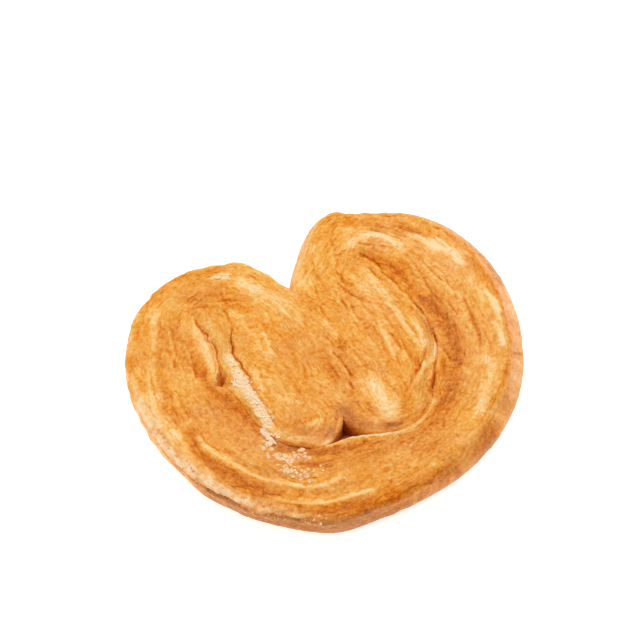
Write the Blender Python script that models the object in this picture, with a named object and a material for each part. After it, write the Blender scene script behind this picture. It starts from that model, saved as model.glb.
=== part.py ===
"""Palmier: one strip of folded puff pastry, baked lying flat, as a single closed solid.

The strip starts with a free end inside the left lobe, turns at the pocket, climbs beside the slit,
folds over the lobe's top, runs down the side and round the bottom, and mirrors all of that in the
right lobe. Where its passes press on each other they fuse. +Z is up, +Y points from the rounded
bottom to the two lobes, and the origin is the middle of the base.
"""

import math

import bmesh
import bpy
from mathutils import Vector

MM = 0.001

# The widest outline, as a distance from the heart's centre at each angle clockwise from +Y, in mm.
HEART_CENTRE = Vector((-2.01, -3.53))
MEAN_RADIUS = 55.45
LOBE_WAVES = (11.94, 1.74, 1.44)  # cosine terms: one, two and three waves to the turn
SKEW_WAVES = (-4.66, -3.88, -2.26)  # sine terms, which make the two lobes differ
CLEFT_DEPTH = 52.2
CLEFT_SPREAD = 41.6
# Where the outline swells: angle in degrees, height, spread in degrees.
SWELLS = ((41.2, 22.7, 46.6), (17.3, 5.5, 8.7), (-7.8, 3.4, 10.4), (-161.3, 1.6, 11.6))

# The folds, seen from above, as offsets from the heart's centre.
SLIT = ((-2.1, -14.6), (-1.8, -8.0), (-0.6, 4.0), (0.4, 16.0), (0.0, 27.0))
POCKET = (-2.6, -20.6)
LEFT_SEAM = (
    (-12.0, -20.7), (-19.3, -16.2), (-23.2, -8.0), (-25.0, 1.5),
    (-26.6, 8.0), (-25.4, 16.0), (-25.3, 22.0), (-26.7, 29.0),
)
LEFT_TURN = ((-12.0, -20.7), (-7.0, -20.4), (-3.9, -18.2), (-2.1, -14.6))
LEFT_CORE = ((-17.0, -11.0), (-18.9, -6.0), (-19.8, 4.0), (-21.1, 16.0), (-18.7, 29.0))
LEFT_CREST = ((-18.7, 29.0), (-20.0, 32.2), (-22.7, 33.6), (-25.6, 32.3), (-26.7, 29.0))
LEFT_NOSE = ((-23.2, 34.0), (-25.9, 32.4))
LEFT_NOSE_INNER = ((-22.2, 34.0), (-19.8, 32.3))
RIGHT_SEAM = (
    (5.0, -21.9), (11.0, -22.9), (16.3, -21.6), (20.2, -18.4), (22.6, -14.0),
    (25.4, -8.6), (28.4, -3.0), (29.3, 8.0), (28.0, 17.0), (22.5, 31.0),
)
RIGHT_TURN = (
    (-2.1, -14.6), (-0.8, -17.6), (1.6, -20.2), (5.0, -21.9), (11.0, -22.9), (16.3, -21.6),
    (20.2, -18.4),
)
RIGHT_TAIL = ((20.2, -18.4), (22.6, -14.0), (25.4, -8.6), (28.4, -3.0), (29.3, 6.0))
RIGHT_CORE = ((15.8, -15.0), (21.2, -9.0), (25.6, -1.0), (27.4, 6.0))
RIGHT_LIMB = (
    (22.5, 31.0), (28.0, 17.0), (28.6, 9.0), (27.4, 4.0), (25.6, -1.0), (21.2, -9.0),
    (15.8, -15.0),
)
RIGHT_CREST = (22.2, 31.8)

# The strip's section, in millimetres.
EDGE_HEIGHT = 9.5
CROWN = 1.1
TOP_ROUND = 1.7
FOOT_ROUND = 1.2
BELLY = 0.45  # the share of its height at which the wall is widest
FUSE = 0.35  # how far each pass reaches into its neighbour
CORE_GAP = 0.7  # radius of the tight fold at the heart of a turn
RIM_INSET = 0.7
RIM_INSET_SWING = 2.6
FLARED_SIDE = 75.0  # degrees; the wall leans out the furthest on this side
FOOT_INSET = 0.7
FOOT_INSET_SWING = 2.4
BELLY_INSET_SWING = 1.5
TUCKED_SIDE = -120.0  # the wall is drawn in under the rim on this side
RIB_SPACING = 3.0
TIP_TAPER = (0.86, 0.96)

# The dough that fills the cores of the folds and floors the pocket.
FILL_SHARE = 0.72
FILL_FOOT = 1.3
FILL_TOP = 5.2
FILL_SIDES = 24


def heart_radius(angle):
    """The outline's distance from the centre, at an angle clockwise from +Y."""
    radius = MEAN_RADIUS
    for wave, (even, odd) in enumerate(zip(LOBE_WAVES, SKEW_WAVES), start=1):
        radius += even * math.cos(wave * angle) + odd * math.sin(wave * angle)
    degrees = math.degrees(angle)
    radius -= CLEFT_DEPTH * math.exp(-abs(degrees) / CLEFT_SPREAD)
    for middle, height, spread in SWELLS:
        radius += height * math.exp(-(((degrees - middle) / spread) ** 2))
    return radius


def heart_point(angle):
    return heart_radius(angle) * Vector((math.sin(angle), math.cos(angle)))


def smooth_curve(points, steps=16):
    """A Catmull-Rom curve through the points."""
    points = [Vector(p) for p in points]
    points = [2 * points[0] - points[1], *points, 2 * points[-1] - points[-2]]
    curve = []
    for a, b, c, d in zip(points, points[1:], points[2:], points[3:]):
        for step in range(steps):
            t = step / steps
            bend = (2 * a - 5 * b + 4 * c - d) * t**2 + (3 * b - a - 3 * c + d) * t**3
            curve.append(0.5 * (2 * b + (c - a) * t + bend))
    return [*curve, points[-2]]


def length_of(curve):
    return sum((b - a).length for a, b in zip(curve, curve[1:]))


def spread_evenly(curve, count):
    """The curve as count + 1 points, equally far apart along it."""
    lengths = [0.0]
    for a, b in zip(curve, curve[1:]):
        lengths.append(lengths[-1] + (b - a).length)
    found = []
    segment = 0
    for step in range(count + 1):
        wanted = lengths[-1] * step / count
        while segment < len(curve) - 2 and lengths[segment + 1] < wanted:
            segment += 1
        span = lengths[segment + 1] - lengths[segment]
        share = (wanted - lengths[segment]) / span if span else 0.0
        found.append(curve[segment].lerp(curve[segment + 1], share))
    return found


def outline(first, last, steps=90):
    """The outline from one angle to another, in degrees."""
    return [heart_point(math.radians(first + (last - first) * n / steps)) for n in range(steps + 1)]


def ribs_between(outer, inner, free, spacing=RIB_SPACING):
    """Ribs that share two edge curves out evenly, without the last one."""
    count = max(2, round(max(length_of(outer), length_of(inner)) / spacing))
    pairs = zip(spread_evenly(outer, count), spread_evenly(inner, count))
    return [(*pair, free, False) for pair in pairs][:-1]


def seam_ribs(seam, spacing=RIB_SPACING * 0.62):
    """Ribs from each point of the band's seam straight out to the outline."""
    ribs = []
    for inner in spread_evenly(seam, round(length_of(seam) / spacing)):
        ribs.append((heart_point(math.atan2(inner.x, inner.y)), inner, True, False))
    return ribs[:-1]


def turn_ribs(outer, pivot, free, spacing=RIB_SPACING * 0.8):
    """Ribs of a tight turn about a pivot."""
    pivot = Vector(pivot)
    ribs = []
    for point in spread_evenly(outer, round(length_of(outer) / spacing)):
        ribs.append((point, pivot + CORE_GAP * (point - pivot).normalized(), free, True))
    return ribs[1:-1]


def strip_ribs():
    """The strip's ribs from its left end to its right: outer point, inner point, free, tight.

    A free rib's outer end is on the outline, and a tight one's inner end is the core of a turn.
    """
    slit = smooth_curve(SLIT)
    left_tail = smooth_curve((*LEFT_NOSE, *reversed(LEFT_SEAM)))
    left_tail_inner = smooth_curve((*LEFT_NOSE_INNER, *reversed(LEFT_CORE)))
    band_seam = smooth_curve((*reversed(LEFT_SEAM), POCKET, *RIGHT_SEAM))
    first = math.degrees(math.atan2(*LEFT_SEAM[-1]))
    last = math.degrees(math.atan2(*RIGHT_SEAM[-1]))
    ribs = ribs_between(left_tail, left_tail_inner, False)
    ribs += turn_ribs(smooth_curve(LEFT_TURN), LEFT_CORE[0], False)
    ribs += ribs_between(slit, smooth_curve(LEFT_CORE), False)
    ribs += ribs_between(outline(-1.2, first), smooth_curve(LEFT_CREST), True)
    ribs += seam_ribs(band_seam)
    ribs += turn_ribs(outline(last, 1.2), RIGHT_CREST, True)
    ribs += ribs_between(slit[::-1], smooth_curve(RIGHT_LIMB), False)
    ribs += turn_ribs(smooth_curve(RIGHT_TURN), RIGHT_CORE[0], False)
    ribs += ribs_between(smooth_curve(RIGHT_TAIL), smooth_curve(RIGHT_CORE), False)
    ribs.append((Vector(RIGHT_TAIL[-1]), Vector(RIGHT_CORE[-1]), False, False))
    return ribs


def swing(angle, side):
    """1 on the named side of the heart, falling to 0 a quarter turn away and beyond."""
    return max(0.0, math.cos(angle - math.radians(side)))


def edge_profile(rim_inset, belly_inset, foot_inset, scale):
    """An edge of the section from the top down: how far in from the widest point, and height."""
    top = TOP_ROUND * scale
    foot = FOOT_ROUND * scale
    profile = []
    for degrees in (90, 58, 28, 0):
        turn = math.radians(degrees)
        inset = rim_inset + top * (1.0 - math.cos(turn))
        profile.append((inset, EDGE_HEIGHT - top * (1.0 - math.sin(turn))))
    for share in (0.75, 0.5, 0.25):
        above = max(0.0, (share - BELLY) / (1.0 - BELLY)) ** 2
        below = max(0.0, (BELLY - share) / BELLY) ** 2
        inset = belly_inset + (rim_inset - belly_inset) * above
        inset += (foot_inset - belly_inset) * below
        profile.append((inset, foot + share * (EDGE_HEIGHT - top - foot)))
    for degrees in (0, 45, 90):
        turn = math.radians(degrees)
        inset = foot_inset + foot * (1.0 - math.cos(turn))
        profile.append((inset, foot * (1.0 - math.sin(turn))))
    return profile


def section(rib):
    """The closed ring of points round the strip at one rib."""
    outer, inner, free, tight = rib
    width = (inner - outer).length
    along = (inner - outer) / width
    scale = min(1.0, width / 5.0)
    if free:
        angle = math.atan2(outer.x, outer.y)
        tuck = swing(angle, TUCKED_SIDE)
        rim = RIM_INSET + RIM_INSET_SWING * swing(angle, FLARED_SIDE)
        foot = FOOT_INSET + FOOT_INSET_SWING * tuck
        outer_edge = edge_profile(rim, BELLY_INSET_SWING * tuck, foot, scale)
    else:
        outer = outer - FUSE * along
        outer_edge = edge_profile(0.0, 0.0, 0.0, scale)
    if not tight:
        inner = inner + FUSE * along
    inner_edge = edge_profile(0.0, 0.0, 0.0, scale)
    width = (inner - outer).length
    ring = []
    for inset, height in reversed(outer_edge):
        ring.append((outer + inset * along, height))
    for share in (0.28, 0.5, 0.72):
        lift = CROWN * scale * (1.0 - (2.0 * share - 1.0) ** 2)
        ring.append((outer + share * width * along, EDGE_HEIGHT + lift))
    for inset, height in inner_edge:
        ring.append((inner - inset * along, height))
    ring.append((outer + 0.5 * width * along, 0.0))
    return [Vector((point.x, point.y, height)) for point, height in ring]


def tapered(ring, share):
    """A ring drawn in towards its middle, for the strip's free ends."""
    middle = sum(ring, Vector()) / len(ring)
    middle.z = EDGE_HEIGHT * 0.5
    return [middle + share * (point - middle) for point in ring]


def strip_mesh():
    """The whole strip as one closed tube, which runs into itself wherever its passes touch."""
    rings = [section(rib) for rib in strip_ribs()]
    for end in (0, -1):
        step = 1 if end == 0 else -1
        rings[end] = tapered(rings[end], TIP_TAPER[0])
        rings[end + step] = tapered(rings[end + step], TIP_TAPER[1])
    mesh = bmesh.new()
    rows = [[mesh.verts.new(point * MM) for point in ring] for ring in rings]
    for row, after in zip(rows, rows[1:]):
        for n in range(len(row)):
            m = (n + 1) % len(row)
            mesh.faces.new((row[n], row[m], after[m], after[n]))
    mesh.faces.new(rows[0])
    mesh.faces.new(rows[-1])
    bmesh.ops.recalc_face_normals(mesh, faces=mesh.faces)
    return mesh


def fill_mesh():
    """A low slab inside the heart, under the tops of the passes."""
    mesh = bmesh.new()
    foot = []
    for n in range(FILL_SIDES):
        angle = 2.0 * math.pi * (n + 0.5) / FILL_SIDES
        point = FILL_SHARE * heart_point(math.remainder(angle, 2.0 * math.pi))
        foot.append(mesh.verts.new((point.x * MM, point.y * MM, FILL_FOOT * MM)))
    face = mesh.faces.new(foot)
    raised = bmesh.ops.extrude_face_region(mesh, geom=[face])["geom"]
    raised = [v for v in raised if isinstance(v, bmesh.types.BMVert)]
    bmesh.ops.translate(mesh, vec=(0.0, 0.0, (FILL_TOP - FILL_FOOT) * MM), verts=raised)
    bmesh.ops.recalc_face_normals(mesh, faces=mesh.faces)
    return mesh


def add_object(name, mesh):
    data = bpy.data.meshes.new(name)
    mesh.to_mesh(data)
    mesh.free()
    added = bpy.data.objects.new(name, data)
    bpy.context.scene.collection.objects.link(added)
    return added


def crust():
    """Browned puff pastry."""
    material = bpy.data.materials.new("crust")
    material.use_nodes = True
    shader = material.node_tree.nodes["Principled BSDF"]
    shader.inputs["Base Color"].default_value = (0.78, 0.42, 0.13, 1.0)
    shader.inputs["Roughness"].default_value = 0.5
    return material


def build_palmier():
    pastry = add_object("pastry", strip_mesh())
    filling = add_object("fold_filling", fill_mesh())
    for part in (pastry, filling):
        part.location = (HEART_CENTRE.x * MM, HEART_CENTRE.y * MM, 0.0)
    filling.hide_render = True
    filling.display_type = "WIRE"
    fuse = pastry.modifiers.new("fuse", "BOOLEAN")
    fuse.operation = "UNION"
    fuse.solver = "EXACT"
    fuse.use_self = True
    fuse.object = filling
    pastry.data.materials.append(crust())
    pastry.data.shade_smooth()
    pastry.data.set_sharp_from_angle(angle=math.radians(40.0))


for old in list(bpy.data.objects):
    bpy.data.objects.remove(old)
build_palmier()
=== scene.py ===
import math

import bmesh
import bpy
import numpy as np
from mathutils import Matrix, Vector
from mathutils.bvhtree import BVHTree


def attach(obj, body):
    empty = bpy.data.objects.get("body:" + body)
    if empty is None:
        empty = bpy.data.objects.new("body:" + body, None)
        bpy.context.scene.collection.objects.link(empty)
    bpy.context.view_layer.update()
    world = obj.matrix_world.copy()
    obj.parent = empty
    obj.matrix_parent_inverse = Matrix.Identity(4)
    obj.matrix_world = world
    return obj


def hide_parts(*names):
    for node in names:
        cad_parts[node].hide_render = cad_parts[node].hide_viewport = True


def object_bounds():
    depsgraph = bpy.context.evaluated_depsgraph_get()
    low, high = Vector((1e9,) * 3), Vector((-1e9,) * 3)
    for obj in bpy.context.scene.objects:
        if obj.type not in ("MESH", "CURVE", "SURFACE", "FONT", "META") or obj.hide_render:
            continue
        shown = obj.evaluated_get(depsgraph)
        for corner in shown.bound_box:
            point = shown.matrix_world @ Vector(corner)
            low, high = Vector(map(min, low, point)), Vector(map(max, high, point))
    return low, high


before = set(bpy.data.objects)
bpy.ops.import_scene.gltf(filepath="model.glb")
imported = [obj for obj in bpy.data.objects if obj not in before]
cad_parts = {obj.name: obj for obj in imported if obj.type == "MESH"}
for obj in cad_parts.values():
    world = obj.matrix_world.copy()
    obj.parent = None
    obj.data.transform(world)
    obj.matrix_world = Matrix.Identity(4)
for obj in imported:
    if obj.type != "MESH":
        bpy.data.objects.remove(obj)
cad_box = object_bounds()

# ---------------------------------------------------------------------------------------------
# The pastry: one strip of laminated dough folded into a heart and baked until the sugar on it
# browned. It is swept as a ring of points along the strip's ribs, with every leaf edge raised,
# and stands for the plain solid.
# ---------------------------------------------------------------------------------------------
MM = 0.001
HEART_CENTRE = np.array((-2.01, -3.53))
MEAN_RADIUS = 55.45
LOBE_WAVES = (11.94, 1.74, 1.44)
SKEW_WAVES = (-4.66, -3.88, -2.26)
CLEFT_DEPTH = 52.2
CLEFT_SPREAD = 41.6
SWELLS = ((41.2, 22.7, 46.6), (17.3, 5.5, 8.7), (-7.8, 3.4, 10.4), (-161.3, 1.6, 11.6))

# Fold lines seen from above, in millimetres from the heart's centre.
SLIT = ((-2.1, -14.6), (-1.8, -8.0), (-0.6, 4.0), (0.4, 16.0), (0.0, 27.0))
POCKET = (-2.6, -20.6)
LEFT_SEAM = (
    (-12.0, -20.7), (-19.3, -16.2), (-23.2, -8.0), (-25.0, 1.5),
    (-27.1, 7.2), (-25.4, 16.0), (-25.0, 21.5), (-26.7, 29.0),
)
LEFT_TURN = (
    (-19.3, -16.2), (-12.0, -20.5), (-7.4, -20.0), (-4.6, -17.9), (-2.1, -14.6),
)
LEFT_CORE = ((-17.0, -11.0), (-18.9, -6.0), (-19.8, 4.0), (-21.1, 16.0), (-18.7, 29.0))
LEFT_CREST = ((-18.7, 29.0), (-20.0, 32.2), (-22.7, 33.6), (-25.6, 32.3), (-26.7, 29.0))
LEFT_NOSE = ((-23.2, 34.0), (-25.9, 32.4))
LEFT_NOSE_INNER = ((-22.2, 34.0), (-19.8, 32.3))
RIGHT_SEAM = (
    (5.0, -21.9), (11.0, -22.9), (16.3, -21.6), (20.2, -18.4), (22.6, -14.0),
    (25.4, -8.6), (28.4, -3.0), (29.3, 8.0), (28.0, 17.0), (22.5, 31.0),
)
RIGHT_TURN = (SLIT[0], (-0.8, -17.6), (1.6, -20.2), *RIGHT_SEAM[:4])
RIGHT_TAIL = (*RIGHT_SEAM[3:7], (29.4, 3.0), (29.0, 12.0))
RIGHT_CORE = ((15.8, -15.0), (21.2, -9.0), (25.6, -1.0), (27.3, 4.0), (28.3, 12.0))
RIGHT_LIMB = ((22.5, 31.0), (27.6, 18.0), *RIGHT_CORE[::-1])
RIGHT_CREST = (22.2, 31.8)
CLEFT_EDGE = 1.2
RIB_STEP = 0.4
RIB_BLUR = 3.0
CORE_GAP = 0.12
FUSE = 0.35


def heart_radius(angle):
    """The outline's distance from the centre at an angle clockwise from +Y, in radians."""
    radius = MEAN_RADIUS + 0.0 * angle
    for wave, (even, odd) in enumerate(zip(LOBE_WAVES, SKEW_WAVES), start=1):
        radius = radius + even * np.cos(wave * angle) + odd * np.sin(wave * angle)
    degrees = np.degrees(angle)
    radius = radius - CLEFT_DEPTH * np.exp(-np.abs(degrees) / CLEFT_SPREAD)
    for middle, height, spread in SWELLS:
        radius = radius + height * np.exp(-(((degrees - middle) / spread) ** 2))
    return radius


def heart_points(angle):
    return heart_radius(angle)[:, None] * np.stack((np.sin(angle), np.cos(angle)), axis=1)


def smooth_curve(points, steps=24):
    """A Catmull-Rom curve through the points."""
    points = np.array(points, float)
    ends = (2 * points[0] - points[1], 2 * points[-1] - points[-2])
    points = np.concatenate(([ends[0]], points, [ends[1]]))
    t = (np.arange(steps) / steps)[:, None]
    runs = []
    for a, b, c, d in zip(points, points[1:], points[2:], points[3:]):
        bend = (2 * a - 5 * b + 4 * c - d) * t**2 + (3 * b - a - 3 * c + d) * t**3
        runs.append(0.5 * (2 * b + (c - a) * t + bend))
    return np.concatenate((*runs, [points[-2]]))


def lengths_along(curve):
    steps = np.hypot(*np.diff(curve, axis=0).T)
    return np.concatenate(([0.0], np.cumsum(steps)))


def at_lengths(curve, places, wanted):
    """The curve's points at the wanted places along it."""
    return np.stack([np.interp(wanted, places, curve[:, n]) for n in (0, 1)], axis=1)


def matched(curve, count=400):
    """The curve as evenly spaced points."""
    places = lengths_along(curve)
    return at_lengths(curve, places, np.linspace(0.0, places[-1], count))


def even_ribs(outer, inner, free, tight):
    """Ribs between two matched edges, a step apart: outer x, y, inner x, y, free, tight."""
    places = 0.7 * lengths_along(outer) + 0.3 * lengths_along(inner)
    count = max(3, round(places[-1] / RIB_STEP))
    wanted = np.linspace(0.0, places[-1], count + 1)[:-1]
    flags = np.tile((float(free), float(tight)), (count, 1))
    pair = (at_lengths(outer, places, wanted), at_lengths(inner, places, wanted))
    return np.concatenate((*pair, flags), axis=1)


def about_pivot(outer, pivot):
    arms = outer - np.array(pivot)
    return np.array(pivot) + CORE_GAP * arms / np.hypot(*arms.T)[:, None]


def outline(first, last):
    return matched(heart_points(np.radians(np.linspace(first, last, 500))))


slit = matched(smooth_curve(SLIT))
band_seam = matched(smooth_curve((*LEFT_SEAM[::-1], POCKET, *RIGHT_SEAM)), 900)
band_angles = np.arctan2(band_seam[:, 0], band_seam[:, 1])
first_angle, last_angle = np.degrees(band_angles[[0, -1]])
left_turn = matched(smooth_curve(LEFT_TURN))
right_turn = matched(smooth_curve(RIGHT_TURN))
right_crest = outline(last_angle, CLEFT_EDGE)
ribs = np.concatenate((
    even_ribs(
        matched(smooth_curve((*LEFT_NOSE, *LEFT_SEAM[:0:-1]))),
        matched(smooth_curve((*LEFT_NOSE_INNER, *LEFT_CORE[::-1]))), False, False,
    ),
    even_ribs(left_turn, about_pivot(left_turn, LEFT_CORE[0]), False, True),
    even_ribs(slit, matched(smooth_curve(LEFT_CORE)), False, False),
    even_ribs(
        outline(-CLEFT_EDGE, first_angle), matched(smooth_curve(LEFT_CREST)), True, False,
    ),
    even_ribs(heart_points(band_angles), band_seam, True, False),
    even_ribs(right_crest, about_pivot(right_crest, RIGHT_CREST), True, True),
    even_ribs(slit[::-1], matched(smooth_curve(RIGHT_LIMB)), False, False),
    even_ribs(right_turn, about_pivot(right_turn, RIGHT_CORE[0]), False, True),
    even_ribs(
        matched(smooth_curve(RIGHT_TAIL)), matched(smooth_curve(RIGHT_CORE)), False, False,
    ),
))


def smoothed(values, reach):
    """Each value averaged with its neighbours along the strip."""
    kernel = np.hanning(2 * reach + 3)[1:-1]
    padded = np.pad(values, ((reach, reach), (0, 0)), mode="edge")
    columns = [np.convolve(column, kernel / kernel.sum(), "valid") for column in padded.T]
    return np.stack(columns, axis=1)


blurred = smoothed(ribs, round(RIB_BLUR / RIB_STEP))
free = ribs[:, 4:5] > 0.5
tight = blurred[:, 5:6]
outer = np.where(free, ribs[:, 0:2], blurred[:, 0:2])
inner = blurred[:, 2:4]

# The section: a ring of points from the outer foot up the wall, over the top and down inside.
EDGE_HEIGHT = 9.45
CROWN = 0.75
TOP_LIMIT = 10.55
TOP_EASE = 0.5
TOP_ROUND = 1.7
SEAM_ROUND = 1.1
FOOT_ROUND = 1.2
BELLY = 0.45
RIM_INSET, RIM_INSET_SWING, FLARED_SIDE = 0.7, 2.6, 75.0
FOOT_INSET, FOOT_INSET_SWING, TUCKED_SIDE = 0.7, 2.4, -120.0
BELLY_INSET_SWING = 1.5
RIM_POINTS, WALL_POINTS, FOOT_POINTS = 9, 14, 3
EDGE_POINTS = RIM_POINTS + WALL_POINTS + FOOT_POINTS
INNER_RIM_POINTS, INNER_WALL_POINTS, INNER_FOOT_POINTS = 7, 6, 2
TOP_POINTS = 186
BOTTOM_POINTS = 6

# Where the passes have torn apart: points, and the half-width of the gap at each.
CRACKS = (
    (((-26.4, 29.0), (-26.8, 26.7), (-26.3, 25.0), (-25.4, 23.1), (-25.6, 21.1), (-24.8, 20.1),
      (-24.8, 18.1), (-25.1, 15.8), (-25.6, 13.9), (-25.9, 12.0), (-26.3, 10.1), (-26.8, 8.2),
      (-27.3, 6.6), (-27.4, 6.0)),
     (0.0, 0.08, 0.18, 0.28, 0.26, 0.34, 0.42, 0.38, 0.26, 0.55, 1.1, 1.7, 2.2, 0.0)),
    (((-18.9, 28.5), (-18.4, 26.9), (-18.6, 24.9), (-17.9, 23.7), (-18.9, 22.0), (-19.4, 20.5),
      (-20.5, 19.1), (-20.5, 17.1), (-21.5, 15.1), (-21.0, 12.8), (-20.2, 11.2), (-20.4, 9.9),
      (-20.0, 6.6), (-19.9, 4.9)),
     (0.0, 0.0, 0.0, 0.0, 0.1, 0.24, 0.36, 0.38, 0.4, 0.38, 0.36, 0.3, 0.2, 0.0)),
    (((29.4, 4.0), (29.2, -1.0), (27.9, -4.0), (25.6, -8.0), (23.8, -12.0), (22.4, -14.5)),
     (0.0, 0.16, 0.1, 0.2, 0.34, 0.0)),
)
# Where two passes meet in a clear groove rather than melting together: points, and how clear.
GROOVES = (
    (((-26.7, 31.0), (-25.4, 20.0), (-27.4, 5.0), (-26.0, 2.0), (-24.0, -5.0), (-19.3, -16.2),
      (-12.0, -20.7), (-5.0, -20.6)), (0.1, 0.6, 0.7, 0.1, 0.0, 0.0, 0.0, 0.6)),
    (((-18.5, 30.0), (-21.0, 17.0), (-19.8, 6.0), (-18.9, -6.0), (-17.0, -11.0)),
     (0.2, 0.6, 0.4, 0.15, 0.0)),
    (((0.0, 30.0), (0.3, 20.0), (-0.6, 4.0), (-1.8, -8.0), (-2.1, -14.6), (-2.3, -18.0)),
     (0.6, 0.0, 0.0, 0.0, 0.4, 0.9)),
    (((-1.0, -18.0), *RIGHT_SEAM), (1.0, 1.0, 0.8, 0.5, 0.3, 0.5, 0.7, 0.7, 0.3, 0.0, 0.0)),
    (((15.8, -15.0), (21.2, -9.0), (25.6, -1.0), (27.4, 6.0)), (0.0, 0.2, 0.3, 0.0)),
)
GROOVE_LEAST = 0.12
FULL_WIDTH = 5.0
CRACK_REACH, GROOVE_REACH = 2.2, 4.0
CRACK_PULL, CRACK_SHAKE = 0.85, 0.25
CRACK_START, CRACK_FALL = 0.9, 3.4


def lattice(x, y, seed):
    """Smooth noise from -1 to 1, one lump to the unit square."""
    table = np.random.RandomState(seed).uniform(-1.0, 1.0, (256, 256))
    column = np.floor(x).astype(int)
    row = np.floor(y).astype(int)
    right = x - column
    up = y - row
    right = right * right * right * (right * (right * 6.0 - 15.0) + 10.0)
    up = up * up * up * (up * (up * 6.0 - 15.0) + 10.0)
    near = table[column % 256, row % 256] * (1 - right)
    near = near + table[(column + 1) % 256, row % 256] * right
    far = table[column % 256, (row + 1) % 256] * (1 - right)
    far = far + table[(column + 1) % 256, (row + 1) % 256] * right
    return near * (1 - up) + far * up


def mottled(x, y, *scales):
    """Noise of several scales added up, each with its strength, its length by x and y, and seed."""
    return sum(share * lattice(x / wide, y / deep, seed) for share, wide, deep, seed in scales)


def ramp(x, low, high):
    t = np.clip((x - low) / (high - low), 0.0, 1.0)
    return t * t * (3.0 - 2.0 * t)


def near_stroke(x, y, points):
    """Distance from a run of straight lines, and how far along them the nearest point is."""
    points = np.array(points, float)
    best = np.full(x.shape, 1e9)
    place = np.zeros(x.shape)
    for n, (a, b) in enumerate(zip(points, points[1:])):
        run = b - a
        t = np.clip(((x - a[0]) * run[0] + (y - a[1]) * run[1]) / run.dot(run), 0.0, 1.0)
        distance = np.hypot(x - a[0] - t * run[0], y - a[1] - t * run[1])
        closer = distance < best
        best = np.where(closer, distance, best)
        place = np.where(closer, n + t, place)
    return best, place


def along_lines(points, lines, reach):
    """The value that the nearest line gives each point, falling to 0 at this reach from it."""
    x, y = points.T
    found = np.zeros(len(x))
    for line, values in lines:
        distance, place = near_stroke(x, y, line)
        here = np.interp(place, np.arange(len(values)), values)
        found = np.maximum(found, here * (1.0 - ramp(distance, 0.45 * reach, reach)))
    return found[:, None]


def crack_width(points, seed):
    """How far a fold's edge stands back from its neighbour at each point."""
    x, y = points.T
    ragged = 1.0 + 0.35 * lattice(x / 1.6, y / 1.6, seed)
    ragged = ragged + 0.25 * lattice(x / 0.7, y / 0.7, seed + 1)
    return along_lines(points, CRACKS, CRACK_REACH) * ragged[:, None]


def jogged(points):
    """The points drawn to the crevice that runs by them, and shaken a little along it."""
    x, y = points.T
    jog = [lattice(x / 0.9, y / 0.9, seed) for seed in (17, 18)]
    moved = points.copy()
    for line, _ in CRACKS:
        distance, place = near_stroke(x, y, line)
        line = np.array(line)
        nearest = at_lengths(line, np.arange(len(line)), place)
        pull = (1.0 - ramp(distance, 0.9, 2.6))[:, None]
        shaken = CRACK_SHAKE * np.stack(jog, axis=1)
        moved = moved + pull * (CRACK_PULL * (nearest - points) + shaken)
    return moved


def swing(angle, side):
    return np.maximum(0.0, np.cos(angle - math.radians(side)))


def edge_profile(insets, top, foot, counts):
    """An edge from its rim to its foot: inset, height, and its outward normal's two parts."""
    rim, belly, bottom = insets
    turn = np.linspace(np.pi / 2, 0.0, counts[0])[None, :]
    parts = [(
        rim + top * (1.0 - np.cos(turn)), EDGE_HEIGHT - top * (1.0 - np.sin(turn)),
        np.cos(turn) + 0 * rim, np.sin(turn) + 0 * rim,
    )]
    share = np.linspace(1.0, 0.0, counts[1] + 2)[None, 1:-1]
    above = np.maximum(0.0, (share - BELLY) / (1.0 - BELLY)) ** 2
    below = np.maximum(0.0, (BELLY - share) / BELLY) ** 2
    inset = belly + (rim - belly) * above + (bottom - belly) * below
    parts.append((
        inset, foot + share * (EDGE_HEIGHT - top - foot), 1.0 + 0 * inset, 0.0 * inset,
    ))
    turn = np.linspace(0.0, np.pi / 2, counts[2])[None, :]
    parts.append((
        bottom + foot * (1.0 - np.cos(turn)), foot * (1.0 - np.sin(turn)),
        np.cos(turn) + 0 * rim, -np.sin(turn) + 0 * rim,
    ))
    return [np.concatenate(rows, axis=1) for rows in zip(*parts)]


outer = np.where(free, outer, jogged(outer))
inner = tight * inner + (1.0 - tight) * jogged(inner)
width = np.hypot(*(inner - outer).T)[:, None]
along = (inner - outer) / width
scale = np.minimum(1.0, width / FULL_WIDTH)
outer_crack = np.where(free, 0.0, crack_width(outer, 11))
inner_crack = crack_width(inner, 13) * (1.0 - tight)
outer_groove = np.maximum(GROOVE_LEAST, along_lines(outer, GROOVES, GROOVE_REACH))
inner_groove = np.maximum(GROOVE_LEAST, along_lines(inner, GROOVES, GROOVE_REACH))
outer = outer - np.where(free, 0.0, FUSE) * along
inner = inner + FUSE * (1.0 - tight) * along
width = np.hypot(*(inner - outer).T)[:, None]
angle = np.arctan2(outer[:, 0], outer[:, 1])[:, None]
tuck = swing(angle, TUCKED_SIDE)
none = np.zeros_like(width)
insets = (
    np.where(free, RIM_INSET + RIM_INSET_SWING * swing(angle, FLARED_SIDE), 0.0),
    np.where(free, BELLY_INSET_SWING * tuck, 0.0),
    np.where(free, FOOT_INSET + FOOT_INSET_SWING * tuck, 0.0),
)
outer_edge = edge_profile(
    insets, np.where(free, TOP_ROUND, SEAM_ROUND * outer_groove) * scale, FOOT_ROUND * scale,
    (RIM_POINTS, WALL_POINTS, FOOT_POINTS))
inner_edge = edge_profile(
    (none, none, none), SEAM_ROUND * inner_groove * scale, FOOT_ROUND * scale,
    (INNER_RIM_POINTS, INNER_WALL_POINTS, INNER_FOOT_POINTS))
for edge, crack in ((outer_edge, outer_crack), (inner_edge, inner_crack)):
    floor_of_crack = EDGE_HEIGHT - CRACK_START - CRACK_FALL * crack
    opened = np.where(crack > 0.04, FUSE, 0.0) + crack
    edge[0] = edge[0] + opened * ramp(edge[1], floor_of_crack, EDGE_HEIGHT - 0.4)
top_first = outer_edge[0][:, :1]
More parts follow.
